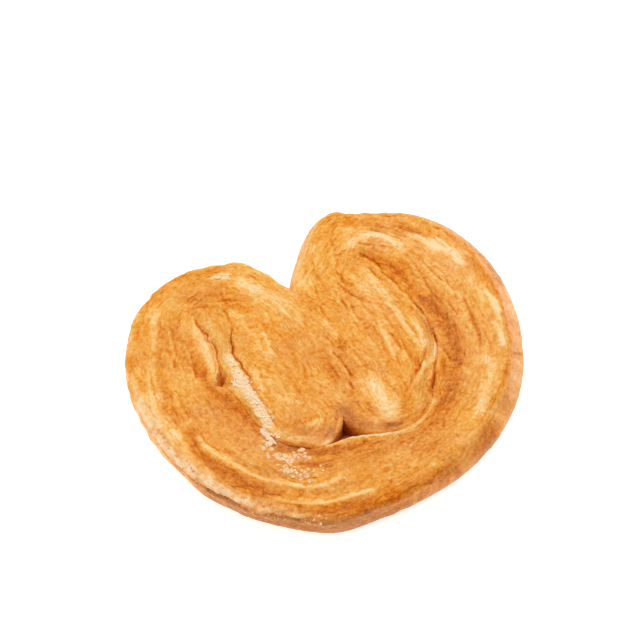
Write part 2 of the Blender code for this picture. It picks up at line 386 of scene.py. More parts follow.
top_last = width - inner_edge[0][:, :1]
share = np.linspace(0.0, 1.0, TOP_POINTS + 2)[None, 1:-1]
across_top = top_first + share * (top_last - top_first)
across_bottom = width - (outer_edge[0][:, -1:] + inner_edge[0][:, -1:])
under = np.linspace(1.0, 0.0, BOTTOM_POINTS + 2)[None, 1:-1]
across_bottom = outer_edge[0][:, -1:] + under * across_bottom
flat, flat_bottom = 0.0 * across_top, 0.0 * across_bottom
across, height, lean_out, lean_up = [
    np.concatenate((edge[:, ::-1], *others), axis=1) for edge, others in zip(outer_edge, (
        (across_top, width - inner_edge[0], across_bottom),
        (flat + EDGE_HEIGHT, inner_edge[1], flat_bottom),
        (flat, -inner_edge[2], flat_bottom),
        (flat + 1.0, inner_edge[3], flat_bottom),
    ))
]
ring = across.shape[1]

# Where each point lies on the strip: millimetres along it, and across it round the section.
strip_length = lengths_along(0.5 * (outer + inner))[:, None] + 0.0 * across
step_out = np.hypot(np.diff(across, axis=1), np.diff(height, axis=1))
section = np.concatenate((none, np.cumsum(step_out, axis=1)), axis=1)
section = section - section[:, EDGE_POINTS - 1:EDGE_POINTS]
leafing = section * np.where(section > 0, 12.0 / np.maximum(width, 4.0) + 0.4, 1.0)
plan_x, plan_y = [outer[:, n:n + 1] + along[:, n:n + 1] * across for n in (0, 1)]
outer_half = (across < 0.5 * width).astype(float)
on_top = ramp(lean_up, 0.1, 0.9) * ramp(height, 5.5, 7.0)
wall = (1.0 - on_top) * ramp(lean_up, -0.6, -0.2) * free * outer_half
from_edge = np.minimum(np.where(free, 9.0, across - top_first), top_last - across)
settled = ramp(from_edge, 0.0, 2.0)

# Leaves: the layers' cut edges, each a low terrace that ends in a small step.
warp = mottled(
    strip_length, leafing, (1.9, 30.0, 9.0, 21), (1.0, 9.0, 3.4, 22), (0.5, 3.6, 1.9, 23),
    (0.32, 1.6, 1.0, 24), (0.12, 0.8, 0.6, 25))
by_slit = ~free[:, 0] & (np.abs(outer[:, 0]) < 2.5) & (outer[:, 1] > -13.0)
by_slit = smoothed(by_slit[:, None].astype(float), 10)
drift = lengths_along(0.5 * (outer + inner))[:, None]
drift = np.cumsum(by_slit * np.gradient(drift, axis=0), axis=0)
layered = leafing + warp - 0.33 * drift
calm = np.zeros(plan_x.shape)
for pivot in (LEFT_CORE[0], LEFT_NOSE_INNER[1], RIGHT_CREST, RIGHT_CORE[0]):
    away = np.hypot(plan_x - pivot[0], plan_y - pivot[1])
    calm = np.maximum(calm, 1.0 - ramp(away, 1.0, 3.2))
STEP_SHADOW_WIDTH = 0.23


def leaves(spacing, reach, seed):
    """Terraces this far apart: height from 0 to 1, and the painted shadow line under each one's
    step.
    """
    place = layered / spacing + 40.0
    leaf = np.floor(place)
    part = place - leaf
    strength = ramp(lattice(strip_length / reach, leaf + 0.5, seed), -0.2, 0.45) * (1.0 - calm)
    lip = part**1.7 * (1.0 - ramp(part, 0.88, 1.0))
    # Painted shadow: a dark line at the foot of each step.
    line = np.exp(-(np.minimum(part, 1.0 - part) * spacing / STEP_SHADOW_WIDTH) ** 2)
    return lip * strength, line * strength


coarse, coarse_step_shadow = leaves(3.3, 9.0, 31)
middling, middling_step_shadow = leaves(1.5, 6.0, 32)
fine, fine_step_shadow = leaves(0.8, 4.5, 33)

# Bubbled caramel: low domes with sharp creases between them, where the sugar boiled.
BUBBLED = (
    (((20.0, 33.0), (28.5, 26.0), (31.5, 15.0), (33.5, 0.0), (31.0, -14.0)), 5.5, 1.0),
    (((10.0, -38.0), (28.0, -31.0), (40.0, -20.0), (45.0, -8.0)), 6.5, 1.0),
    (((14.0, 30.0), (13.0, 18.0)), 4.0, 0.5),
    (((-3.0, -4.0), (5.0, 8.0)), 6.0, 0.5),
    (((-33.0, 26.0), (-30.0, 6.0), (-25.0, -10.0)), 4.0, 0.6),
    (((15.0, -30.0), (2.0, -29.0)), 4.0, 0.5),
)
streak = mottled(strip_length, layered, (0.6, 8.0, 1.3, 51), (0.4, 3.5, 0.7, 52))
patch = mottled(plan_x, plan_y, (0.6, 4.5, 4.5, 53), (0.4, 1.8, 1.8, 55))
wander = 1.0 + 0.4 * streak + 0.2 * patch


def painted(line, reach):
    """How strongly a stroke of this half-width marks each point, from 0 to 1."""
    line = smooth_curve(line, 4)
    low, high = line.min(axis=0) - 3.0 * reach, line.max(axis=0) + 3.0 * reach
    near = (plan_x > low[0]) & (plan_x < high[0]) & (plan_y > low[1]) & (plan_y < high[1])
    distance, _ = near_stroke(plan_x[near], plan_y[near], line)
    marked = np.zeros(plan_x.shape)
    marked[near] = np.exp(-((distance * wander[near] / reach) ** 2))
    return marked


bubbled = 0.15 + 0.3 * lattice(plan_x / 7.0, plan_y / 7.0, 47)
for line, reach, share in BUBBLED:
    bubbled = bubbled + share * painted(line, reach)
bubbled = np.clip(bubbled, 0.0, 1.0) * on_top
boiled = 0.6 * lattice(strip_length / 1.5, leafing, 48)
domes = 1.0 - 2.2 * np.abs(boiled + 0.4 * lattice(plan_x / 0.8, plan_y / 0.8, 49))
blister = mottled(plan_x, plan_y, (0.6, 2.4, 2.4, 41), (0.4, 1.2, 1.2, 42))
crinkle = lattice(plan_x / 0.8, plan_y / 0.8, 46)
swell = lattice(plan_x / 14.0, plan_y / 14.0, 43)
lined = (1.0 - 0.55 * bubbled) * (0.42 + 0.23 * ramp(plan_x, -14.0, 4.0))
relief = (0.34 * coarse + 0.29 * middling + 0.23 * fine - 0.25) * lined
relief = relief * (0.35 + 0.65 * settled) + 0.13 * blister + 0.09 * crinkle + 0.28 * swell
relief = relief + 0.12 * bubbled * domes
relief = relief * on_top + wall * mottled(
    strip_length, height, (0.26, 7.0, 3.0, 44), (0.16, 2.2, 1.6, 45), (0.08, 0.9, 0.8, 50))

# The rim: a wavering edge, and a crumbling lip along the side where the leaves stand open.
degrees = np.degrees(angle)
rim = free * ramp(height, 5.5, 8.5) * np.exp(-((np.maximum(0.0, section - 0.2) / 0.9) ** 2))
rim = rim * outer_half
waver = mottled(strip_length, 0.0 * height, (0.6, 6.5, 1.0, 61), (0.4, 2.6, 1.0, 62))
crumbling = ramp(degrees, -172.0, -150.0) * (1.0 - ramp(degrees, -92.0, -72.0))
crumbs = mottled(strip_length, section, (0.6, 1.5, 1.2, 63), (0.4, 0.8, 0.7, 64))
nicks = lattice(strip_length / 1.1, section / 1.6, 65)
relief = relief + rim * (0.55 * waver + 0.24 * nicks + crumbling * (0.1 + 0.6 * crumbs))
by_lip = (1.0 - ramp(section, 1.5, 4.0)) * outer_half
relief = relief + on_top * crumbling * 0.3 * crumbs * by_lip
crown = CROWN * (1.0 - np.abs(2.0 * across / width - 1.0) ** 3) * scale
crown = np.where(free, crown, 0.5 * crown + 0.5 * CROWN)
height = height + crown * ramp(height, 5.0, EDGE_HEIGHT)

# Raised leaf edges and hollows that stand out from the rest: points, width, height.
BAND_RIDGE = (
    (-38.5, -6.0), (-36.5, -15.0), (-30.5, -24.0), (-22.5, -29.5), (-14.5, -32.2), (-6.0, -32.0),
)
RIM_RIDGE = ((-26.0, -34.5), (-14.5, -38.0), (-2.5, -38.2), (6.0, -36.5))
CREVICE_LIP = ((-29.8, 6.0), (-28.9, 12.0), (-28.2, 18.0), (-28.4, 25.0))
ARCH = ((16.6, 38.5), (25.5, 38.0), (30.5, 32.0), (35.5, 20.0))
RIDGES = (
    (BAND_RIDGE, 0.8, 0.34),
    (RIM_RIDGE, 0.6, 0.33),
    (((-20.0, -17.2), (-12.5, -22.0), (-5.0, -21.8), (0.0, -21.9), (6.0, -23.2), (12.0, -24.0),
      (18.0, -22.0)), 0.7, 0.5),
    (CREVICE_LIP, 0.8, 0.3),
    (((-26.4, 26.0), (-25.9, 21.5), (-26.2, 14.0), (-27.8, 8.0)), 0.7, -0.7),
    (ARCH, 1.6, 0.3),
    (((21.0, -12.0), (25.5, -4.0), (28.0, 3.0)), 0.6, 0.4),
    (((-35.5, -8.0), (-33.5, -15.0), (-28.0, -22.5), (-20.5, -27.5), (-13.0, -29.8)), 1.0, -0.6),
    (((-24.0, -32.0), (-13.0, -35.3), (-2.0, -35.6)), 0.8, -0.3),
    (((29.8, -8.0), (32.0, 4.0), (31.5, 14.0), (27.0, 26.0)), 1.6, -0.3),
)
RIDGE_STEPS = 8
for line, reach, lift in RIDGES:
    distance, place = near_stroke(plan_x, plan_y, smooth_curve(line, RIDGE_STEPS))
    fade = np.minimum(place, (len(line) - 1) * RIDGE_STEPS - place) / RIDGE_STEPS
    relief = relief + on_top * lift * ramp(fade, 0.0, 0.6) * np.exp(-((distance / reach) ** 2))

# Creases where a leaf has lifted, each darkened with painted shade; the dough beside them, on
# the side that faces the lamps, is raised a little and paler with a painted highlight. Each row
# holds how deep and dark it is, in hundredths, then x, y, x, y and so on, in tenths of a
# millimetre.
CREASES = (
    (45, 208, 393, 232, 398, 254, 396, 271, 383, 293, 367, 305, 349, 314, 328, 321, 305),
    (35, 222, 357, 245, 345, 268, 332, 290, 317, 306, 301),
    (50, 211, 327, 225, 308, 235, 290, 243, 273, 242, 257, 247, 241, 257, 223, 263, 204, 266, 182),
    (35, 214, 271, 220, 251, 228, 228),
    (35, 134, 264, 138, 245),
    (40, 119, 256, 131, 227, 142, 206, 153, 191, 158, 176),
    (50, 108, 205, 112, 186, 114, 162),
    (45, 126, 178, 126, 150, 130, 125),
    (45, 51, 200, 51, 179, 56, 156),
    (30, 58, 262, 55, 232),
    (30, 79, 309, 73, 287),
    (30, -7, 181, -5, 163),
    (35, 337, 368, 354, 354, 375, 336, 401, 316),
    (30, 324, 325, 329, 302),
    (35, 312, 295, 322, 270),
    (45, 354, 245, 358, 226, 364, 206, 370, 187, 379, 166),
    (40, 387, 173, 390, 145, 397, 125),
    (40, 404, 122, 408, 97, 407, 73, 410, 51, 407, 22),
    (40, 366, 103, 370, 77, 374, 52),
    (50, 267, 178, 276, 165, 279, 150, 284, 127, 290, 108, 293, 86),
    (50, 328, 134, 330, 110, 330, 82, 334, 63, 345, 42),
    (40, 325, 98, 325, 67),
    (30, 483, 119, 481, 93, 488, 73, 490, 42),
    (50, 29, 57, 38, 36, 42, 11, 45, -11, 48, -32),
    (40, 80, 44, 85, 15, 89, -11, 101, -32),
    (30, 90, 6, 98, -17),
    (30, 65, 71, 67, 53),
    (35, -44, 54, -43, 27, -47, 4),
    (30, -57, 49, -59, 22),
    (35, 11, 16, 14, -12, 16, -27),
    (40, 35, -51, 36, -69),
    (45, 190, 57, 194, 31, 198, -1),
    (25, 93, -67, 89, -100, 83, -128),
    (40, 23, 114, 33, 97, 38, 81),
    (40, 241, 82, 247, 52, 250, 24, 251, -1),
    (45, 301, -37, 304, -59, 302, -79),
    (45, 255, -19, 240, -45, 225, -63, 207, -80),
    (40, 203, -178, 189, -193, 173, -204),
    (40, 232, -189, 211, -208, 186, -223, 165, -232, 145, -241),
    (30, 402, 17, 402, -7, 402, -35, 386, -70),
    (30, 420, -24, 418, -51),
    (30, 430, -142, 413, -173, 393, -203),
    (30, 209, 33, 209, -9, 211, -33),
    (35, -335, 272, -339, 253, -343, 238),
    (30, -344, 228, -353, 190),
    (35, -364, 181, -370, 159),
    (35, -314, 189, -320, 167),
    (45, -319, 163, -324, 134, -326, 108),
    (30, -331, 168, -335, 149),
    (35, -108, 206, -111, 169, -112, 138, -111, 111),
    (30, -167, 74, -171, 48),
    (40, -378, -64, -376, -89, -365, -111, -352, -126),
    (35, -342, -130, -324, -147),
    (35, -327, -170, -306, -195),
    (35, -247, -228, -226, -267, -200, -294, -168, -306),
    (40, -190, -161, -165, -181, -143, -203, -115, -217, -70, -224),
    (30, -174, -242, -150, -251, -119, -257),
    (45, -2, -198, 31, -214, 67, -228, 96, -233),
    (25, -242, 340, -208, 320, -170, 312, -135, 295),
    (30, -259, 319, -226, 309),
    (45, -189, 285, -184, 269, -186, 249, -179, 237, -189, 220),
    (50, -268, 284, -268, 267, -263, 250, -254, 231),
    (45, -205, 61, -204, 27, -199, -10, -196, -45, -194, -77, -188, -110),
    (30, 327, 255, 335, 204, 339, 147),
    (30, 154, 397, 150, 357, 143, 318),
    (25, 123, 374, 119, 335),
    (30, -433, 169, -444, 125, -448, 86),
    (30, -393, 85, -394, 38, -389, -5),
    (30, 318, -188, 281, -228, 240, -261),
    (30, 406, 128, 407, 73, 403, 20),
)
CREASE_REACH, HIGHLIGHT_REACH = 0.36, 0.5
LIT_SIDE = np.array((-0.75, -0.2))
crease_depth_and_shade, lip_rise_and_highlight = np.zeros(plan_x.shape), np.zeros(plan_x.shape)
for depth, *numbers in CREASES:
    line = np.reshape(numbers, (-1, 2)) / 10.0
    crease_depth_and_shade = np.maximum(crease_depth_and_shade, depth / 100.0 * painted(line, CREASE_REACH))
    lip_rise_and_highlight = np.maximum(lip_rise_and_highlight, depth / 100.0 * painted(line + LIT_SIDE, HIGHLIGHT_REACH))
relief = relief - on_top * (0.52 * crease_depth_and_shade - 0.12 * lip_rise_and_highlight)

# Under the crumbling lip the side is cut back in a groove darkened with painted shadow, and stands
# plain below it.
lip_foot = np.interp(degrees, (-150.0, -133.0, -122.0, -109.0, -96.0), (9.2, 9.1, 8.5, 7.2, 6.2))
lip_foot = lip_foot + 0.4 * waver + 0.4 * nicks
lip_undercut_and_shadow = free * crumbling * (1.0 - on_top) * np.exp(-(((height - lip_foot) / 0.45) ** 2))
lip_undercut_and_shadow = lip_undercut_and_shadow * outer_half
relief = relief - 0.8 * lip_undercut_and_shadow

across = across - relief * lean_out
height = height + relief * lean_up
over = np.maximum(0.0, height - (TOP_LIMIT - TOP_EASE))
eased = TOP_LIMIT - TOP_EASE + TOP_EASE * (1.0 - np.exp(-over / TOP_EASE))
height = np.where(over > 0, eased, height)
height = np.maximum(height, 0.0)

# Browning, with painted shade and painted light among it: strokes that are darker (over 0) or
# paler (under 0) than the rest. Some darker strokes are painted shadow in hollows, under lips
# and around the pocket; some paler ones are painted highlight on lips that face the lamps. Each
# row holds the half-width in tenths of a millimetre, the change in hundredths, then x, y, x, y
# and so on, in tenths of a millimetre.
BROWNING_AND_SHADING = (
    (14, -16, -242, 268, -234, 210, -231, 160, -235, 114),
    (11, 22, -395, -44, -402, -83, -411, -107, -400, -135, -384, -165, -364, -200, -339, -237, -314,
     -274),
    (10, 16, -196, -176, -156, -194, -115, -217, -71, -227),
    (6, 15, -174, -242, -145, -253, -114, -258),
    (5, -30, -33, -200, -2, -212, 33, -222, 64, -234),
    (5, -25, -390, -67, -386, -92, -375, -114, -359, -144, -341, -171, -323, -195, -302, -227, -282,
     -249, -254, -270, -222, -293, -188, -313, -155, -322, -121, -321, -96, -313),
    (5, -22, -213, -344, -186, -358, -155, -373, -120, -376, -87, -375, -55, -380, -28, -381),
    (5, -20, -347, -149, -327, -170, -310, -197),
    (11, 18, 10, -412, 32, -428, 66, -427, 101, -420),
    (5, -22, 41, 159, 46, 129, 56, 98),
    (5, -18, -20, 234, -13, 207, -9, 181),
    (12, -6, 52, -267, 78, -294, 93, -327),
    (5, -35, -172, 392, -143, 381),
    (10, -16, -361, 348, -377, 292, -400, 232),
    (5, -20, -116, 171, -120, 138, -127, 113),
    (6, -14, -179, 72, -190, 35),
    (13, 20, -141, -142, -100, -178, -58, -184),
    (14, -22, 103, 444, 63, 397, 37, 345, 20, 301),
    (11, -16, -132, 404, -96, 397, -51, 355, -20, 306, 0, 271),
    (8, -25, -114, 363, -102, 337, -82, 316),
    (10, -18, 197, 401, 236, 393, 268, 367, 295, 329, 341, 311),
    (5, 20, 337, 381, 372, 344, 396, 304),
    (11, -28, 410, 298, 436, 264, 449, 225),
    (6, -32, 477, 81, 475, 47, 466, 2),
    (5, 15, 496, 59, 490, 21),
    (5, 20, -465, 223, -488, 163, -501, 106),
    (10, -20, -416, 197, -432, 135, -441, 69),
    (22, -20, -493, 69, -492, 14, -491, -42),
    (16, -22, -443, -46, -433, -91, -415, -132),
    (8, 15, -300, -294, -263, -328, -219, -359),
    (5, 30, -273, -390, -237, -407, -199, -421, -159, -433, -125, -439),
    (8, 16, -226, -377, -187, -392, -147, -403),
    (13, -12, 146, -362, 177, -367, 216, -354),
    (8, -15, 367, -248, 344, -294, 314, -330),
    (14, 14, -154, -188, -89, -237, -5, -270, 94, -266, 184, -249),
    (13, 12, 140, -181, 186, -206, 243, -203),
    (14, 16, -137, -116, -103, -143, -68, -153, -29, -137),
    (11, 14, 8, -165, 51, -198, 100, -214),
    (14, 12, -173, -239, -101, -267, -16, -279, 63, -289),
    (5, 14, -185, -90, -169, -114, -147, -119),
    (5, -20, -110, -133, -87, -131),
    (10, 14, -224, -371, -152, -402, -61, -416, 35, -419, 122, -411, 223, -378),
    (8, 8, -290, 70, -249, -4, -223, -93),
    (5, 16, 351, 115, 360, 50, 354, -23),
    (5, 16, 298, 266, 318, 210, 339, 154, 348, 106),
    (5, 12, 334, 287, 364, 234, 386, 163, 400, 97, 403, 20, 396, -57),
    (5, 12, 180, 284, 194, 227, 206, 171, 218, 115),
    (5, 12, 121, 238, 132, 179, 142, 120, 153, 61, 161, -4),
    (5, -12, 162, 273, 172, 212, 182, 153, 192, 91, 202, 29),
    (5, 12, 37, 236, 45, 171, 54, 99, 55, 30),
    (5, 12, -106, 188, -105, 119, -101, 42, -96, -39),
    (5, -12, -142, 167, -138, 97, -135, 20, -129, -50),
    (26, 13, 211, 313, 267, 257, 300, 162, 324, 57, 323, -45, 302, -123, 258, -185, 197, -230),
    (22, 12, -114, -409, 8, -418, 123, -408, 218, -376, 325, -314),
    (22, 10, -324, 127, -305, 31, -258, -63, -214, -165),
    (16, 8, -253, 347, -184, 348, -132, 301),
    (14, 10, -416, -112, -368, -205, -296, -285),
    (14, 18, -360, 285, -388, 228, -412, 151, -421, 69, -410, 13),
    (13, 10, -331, 274, -340, 209, -358, 147),
    (8, 20, -281, 289, -305, 213, -308, 155, -305, 120),
    (5, 25, -321, 150, -326, 108),
    (8, 26, -308, 111, -303, 58, -283, 16, -259, -28, -248, -73, -238, -104),
    (14, 14, -313, 10, -299, -47, -282, -88),
    (6, 14, -344, 399, -294, 421, -251, 425, -197, 422, -122, 400, -74, 381),
    (8, 10, -422, 292, -444, 249, -461, 204),
    (6, 18, -466, 155, -470, 87, -481, 57),
    (8, 20, -265, 352, -226, 347, -188, 336, -159, 290, -132, 266),
    (5, 18, -279, 316, -237, 317, -210, 300),
    (10, 15, -74, 141, -71, 99, -70, 30, -67, 1),
    (11, 15, 4, 77, 6, 25, 6, -27),
    (6, 12, -154, 86, -138, 56),
    (6, 16, -96, -1, -97, -18),
    (6, 12, -441, 76, -427, 2, -419, -69),
    (11, 21, -408, -56, -409, -108, -381, -145, -358, -178, -327, -242, -293, -276, -251, -312),
    (5, 14, -234, -216, -174, -242, -105, -279),
    (14, 16, -148, -390, -69, -402, 12, -406, 82, -406, 144, -388, 210, -362),
    (50, 6, -300, -260, -160, -340, 0, -360, 140, -340),
    (5, 22, -234, -398, -158, -416, -81, -432, -12, -435, 58, -431),
    (10, 20, 214, 322, 243, 304, 269, 277, 277, 240),
    (6, 12, 235, 304, 250, 264, 264, 234),
    (10, 24, 286, 250, 290, 207, 295, 171, 303, 134, 311, 96),
    (13, 26, 315, 129, 325, 84, 338, 45, 340, -1, 330, -48, 324, -87),
    (5, 40, 296, 58, 294, 17, 295, -18),
    (5, 40, 254, -95, 230, -130, 219, -150),
    (11, 20, 284, -82, 284, -133, 262, -176, 227, -208),
    (11, 16, 138, 283, 145, 229, 163, 188),
    (13, 12, 34, 83, 53, 24, 52, -27),
    (13, 12, -26, 71, -1, 28, 5, -6),
    (5, 18, 190, 57, 203, 18, 216, -21, 216, -56),
    (5, 18, 198, 112, 201, 70, 204, 35),
    (5, 22, 229, -44, 200, -84, 166, -115, 147, -149, 131, -184),
    (6, 28, 52, -130, 67, -191, 100, -214, 131, -205),
    (13, 15, 1, -111, 17, -141, 30, -173),
    (5, 20, 37, -39, 29, -87, 32, -123),
    (8, 18, 171, 442, 211, 437, 252, 421, 301, 381, 333, 356, 383, 343, 425, 306, 441, 276),
    (6, 12, 332, 390, 376, 360),
    (5, 20, 490, 172, 498, 100, 497, 25, 473, -52, 431, -155, 375, -220, 334, -255),
    (10, 18, 414, -235, 388, -259, 349, -289, 297, -317),
    (8, 14, 445, 251, 467, 201, 483, 133),
    (6, 15, 407, 42, 409, -10, 392, -55),
    (13, -34, -279, 265, -276, 220, -274, 170, -280, 120, -287, 74),
    (6, -20, -282, 56, -248, 36, -240, 6),
    (8, -22, -371, 331, -385, 278, -398, 231),
    (5, -20, -432, 193, -444, 146, -454, 99),
    (18, -26, -108, 343, -76, 303, -48, 268, -29, 244),
    (5, -20, -47, 234, -27, 199, -16, 170),
    (5, -40, -168, 390, -145, 384),
    (6, -14, -166, 272, -153, 247),
    (8, -18, -161, 226, -144, 185),
    (5, -20, -112, 173, -112, 138, -113, 112),
    (5, -18, -189, 82, -181, 45, -185, 5),
    (5, -22, -147, -26, -124, -52, -97, -63),
    (5, -20, -131, -129, -101, -137, -77, -132),
    (5, -18, -482, 178, -493, 120, -498, 57, -487, -9, -469, -84, -455, -141, -430, -185, -405,
     -229, -371, -283, -333, -329, -289, -359, -256, -396),
    (14, -12, -494, 45, -463, -18, -443, -60),
    (5, -12, -385, -69, -382, -111, -358, -158, -324, -198, -285, -241, -242, -274, -198, -305,
     -163, -322, -121, -321, -91, -315),
    (5, -25, -284, -310, -217, -353, -168, -371, -102, -380, -33, -379),
    (10, -8, 39, -279, 56, -307, 87, -284),
    (26, 14, 100, -270, 140, -310, 180, -330),
    (10, -20, -219, -84, -207, -110, -188, -134, -158, -163, -125, -186, -90, -203),
    (5, -30, -90, -203, -63, -206, -36, -206, 4, -211, 54, -227, 90, -241, 117, -241, 149, -232,
     185, -209, 217, -176),
    (7, 20, -233, -120, -212, -159, -180, -185, -146, -205, -111, -222, -60, -234, -6, -238, 44,
     -251),
    (10, 14, -27, -110, -12, -130, -2, -154),
    (6, 16, 10, -182, 40, -204, 79, -219, 112, -218),
    (11, 8, -100, -48, -59, -71, -36, -100, -26, -131),
    (9, -34, 199, 369, 243, 376, 281, 365, 304, 339, 314, 308),
    (11, -38, 365, 333, 384, 308, 411, 271, 431, 249, 443, 210),
    (5, -20, 96, 381, 115, 395),
    (10, -26, 190, 273, 198, 243, 213, 203, 226, 163),
    (6, -33, 213, 151, 231, 127, 234, 85, 239, 38, 255, -6),
    (5, -22, 258, 75, 264, 46, 257, 14),
    (5, -28, 175, 104, 173, 63, 173, 12, 171, -15),
    (5, -30, 292, -10, 277, -35, 251, -59, 220, -82, 199, -101),
    (18, -30, 95, -61, 97, -113, 105, -150, 98, -182),
    (6, -20, 182, -146, 188, -165, 167, -184),
    (6, -20, 359, 243, 380, 190, 389, 142, 407, 101),
    (6, -30, 474, 95, 479, 66, 485, 30),
    (6, -33, 458, -5, 454, -44, 450, -77),
    (13, -22, 379, -101, 398, -126, 368, -166, 339, -206, 317, -249),
    (5, -20, 324, -115, 333, -135),
    (6, -16, 447, 147, 452, 104, 447, 61),
    (5, -20, 52, 144, 57, 108),
    (5, -14, 110, 173, 123, 134),
    (10, -34, -228, 139, -229, 64, -218, -9, -208, -99),
    (10, 15, -217, -150, -181, -188, -136, -216, -87, -231, -35, -241, 31, -249),
    (14, 13, -300, 132, -294, 75, -281, 22, -266, -32, -251, -79),
    (22, 10, 332, 123, 335, 36, 325, -46, 302, -123, 261, -193, 209, -242),
    (13, 14, -389, 297, -403, 233),
    (22, 8, -338, 19, -304, -38),
    (14, 6, 265, -109, 253, -190),
    (8, 20, -3, -129, -7, -159, -7, -183),
    (5, 20, -49, -191, -25, -179, -5, -177, 12, -197),
    (10, -17, -504, 84, -505, 32, -495, -30, -476, -89, -451, -139, -420, -182, -399, -221, -378,
     -260, -350, -295, -323, -326, -294, -351, -261, -374, -237, -390),
    (13, -26, -465, 85, -464, 44, -459, 1),
    (10, -18, -347, 321, -323, 347, -292, 369),
    (10, -20, 37, 339, 36, 305, 36, 277),
    (14, -16, 88, -79, 89, -120, 78, -164, 52, -188),
    (5, 20, -281, 66, -266, 61, -251, 58),
    (8, -16, 263, 87, 265, 42, 259, -10),
    (6, -16, 295, -11, 270, -60, 239, -113),
    (8, -14, 489, 62, 476, -1, 441, -77),
    (8, 10, 301, -37, 271, -101, 238, -157),
    (8, 8, 232, 58, 230, 8, 222, -41),
    (10, 6, -86, -170, -64, -192, -35, -182),
    (16, -5, -367, 123, -342, 73),
    (8, 8, -16, -104, -14, -149, -11, -192),
    (19, 8, -524, 91, -535, 27, -530, -27),
    (16, 4, 3, 2, 24, -51, 24, -102),
    (16, 4, 70, 69, 103, 32, 123, -10),
    (19, 5, 51, 128, 70, 69),
    (16, 5, -306, 52, -283, 16, -261, -20),
    (16, -6, -360, 141, -335, 98),
    (16, -6, 266, 182, 285, 123, 302, 72),
    (16, -6, 441, 183, 455, 110, 454, 35),
    (13, -8, 333, -221, 305, -279, 269, -316),
    (13, -5, -404, -205, -377, -250),
    (22, 7, -336, 276, -341, 227, -349, 185),
    (19, -8, 393, 151, 399, 80, 403, 33),
    (22, -8, -94, 327, -85, 265, -68, 215),
    (16, -8, -461, 204, -477, 141, -475, 96),
    (19, -6, -183, 97, -164, 38, -157, -16),
    (19, -9, 54, -405, 87, -428, 130, -424),
    (16, -6, -48, -383, -2, -408, 37, -416),
    (19, -8, 181, 215, 200, 156, 222, 103),
    (16, -7, -439, 298, -449, 251),
    (13, -7, 364, 402, 392, 367, 420, 315),
)
BASE_TONE = 0.50
BROWN_GAIN, PALE_GAIN = 0.88, 1.02
STROKE_SPREAD = 1.3
TONE_LEAST, TONE_MOST = 0.02, 0.86
tone = BASE_TONE + 0.0 * across
for reach, change, *numbers in BROWNING_AND_SHADING:
    gain = (BROWN_GAIN if change > 0 else PALE_GAIN) * (change / 100.0)
    line = np.reshape(numbers, (-1, 2)) / 10.0
    tone = tone + gain * painted(line, STROKE_SPREAD * (reach / 10.0))
# Painted shade in the creases, and painted highlight on the lit lips beside them.
tone = tone + 0.04 * streak * (1.0 - calm) + 0.03 * patch + 0.62 * crease_depth_and_shade - 0.24 * lip_rise_and_highlight
tone = tone - lined * (0.12 * ramp(coarse, 0.3, 0.75) + 0.08 * ramp(middling, 0.2, 0.6))
tone = tone - 0.08 * ramp(fine, 0.2, 0.6) - 0.06 * crinkle
tone = tone - bubbled * 0.09 * domes
# Painted shadow along the foot of each leaf's step.
tone = tone + lined * (0.17 * coarse_step_shadow + 0.17 * middling_step_shadow + 0.16 * fine_step_shadow)
tone = tone - 0.10 * rim * crumbling * ramp(crumbs, -0.5, 0.3)
# How dark the outer side is by its angle: the crust's own browning and painted shade, darkest on
# the front and lower left, which face away from the lamps.
SIDE_SHADES = (
    (-180, 0.9), (-165, 0.95), (-150, 1.0), (-133, 1.0), (-120, 0.72), (-105, 0.55), (-95, 0.3),
    (-80, 0.3), (-67, 0.5), (-50, 0.4), (0, 0.35), (25, 0.55), (45, 0.62), (60, 0.62), (72, 0.55),
    (85, 0.45), (100, 0.42), (115, 0.5), (130, 0.6), (150, 0.72), (180, 0.78))
side_tone_and_shade = np.interp(degrees, *zip(*SIDE_SHADES)) + 0.24 * patch
side_tone_and_shade = side_tone_and_shade + 0.12 * streak + 0.08 * crinkle
side_tone_and_shade = side_tone_and_shade + 0.35 * painted(((46.5, -10.2), (53.0, -8.6)), 0.35)
lip_side = crumbling * ramp(height - lip_foot, 0.1, 0.8)
# Painted shadow: the groove under the lip is darkened.
side_tone_and_shade = side_tone_and_shade + lip_side * (0.33 + 0.35 * crumbs - side_tone_and_shade) + 0.42 * lip_undercut_and_shadow
tone = tone + wall * (side_tone_and_shade - tone)
outside = np.clip(wall * 20.0, 0.0, 1.0)
# Painted shade: faces below the top edge in cracks, grooves and the pocket darken with depth.
inside = (1.0 - outside) * (1.0 - on_top) * ramp(EDGE_HEIGHT - height, 0.6, 2.4)
LIP_BAND = (
    (-48.6, -5.9), (-47.0, -10.5), (-42.0, -18.2), (-37.8, -26.0), (-32.3, -32.6),
    (-26.1, -37.4), (-23.7, -39.0),
)
tone = tone - 0.20 * on_top * painted(LIP_BAND, 1.4) * ramp(crumbs, -0.3, 0.4)
tone = np.clip(tone, TONE_LEAST, TONE_MOST)
tone = np.clip(tone + 0.14 * inside, 0.0, 1.0)
SUGAR_BED = (
    (-22.7, 8.3), (-22.2, 5.4), (-21.8, 2.1), (-21.4, -1.4), (-20.9, -5.0), (-20.5, -9.0),
)
sugared = painted(SUGAR_BED, 1.2)
tone = np.clip(tone - 0.32 * sugared, 0.0, 1.0)
core = sugared + 0.7 * painted(((-23.1, -11.4), (-20.1, -16.7), (-16.6, -22.1)), 2.5)
POCKET_RIM = (
    (-5.9, -19.4), (-3.3, -14.9), (-0.2, -11.9), (0.1, -16.2), (4.5, -19.2), (9.3, -21.1),
)
core = core + 0.6 * painted(POCKET_RIM, 1.8)
core = core + 0.6 * painted(LIP_BAND, 2.0)
core = core + 0.7 * painted(((-14.8, -14.6), (-11.2, -16.7), (-7.1, -17.5)), 2.0)
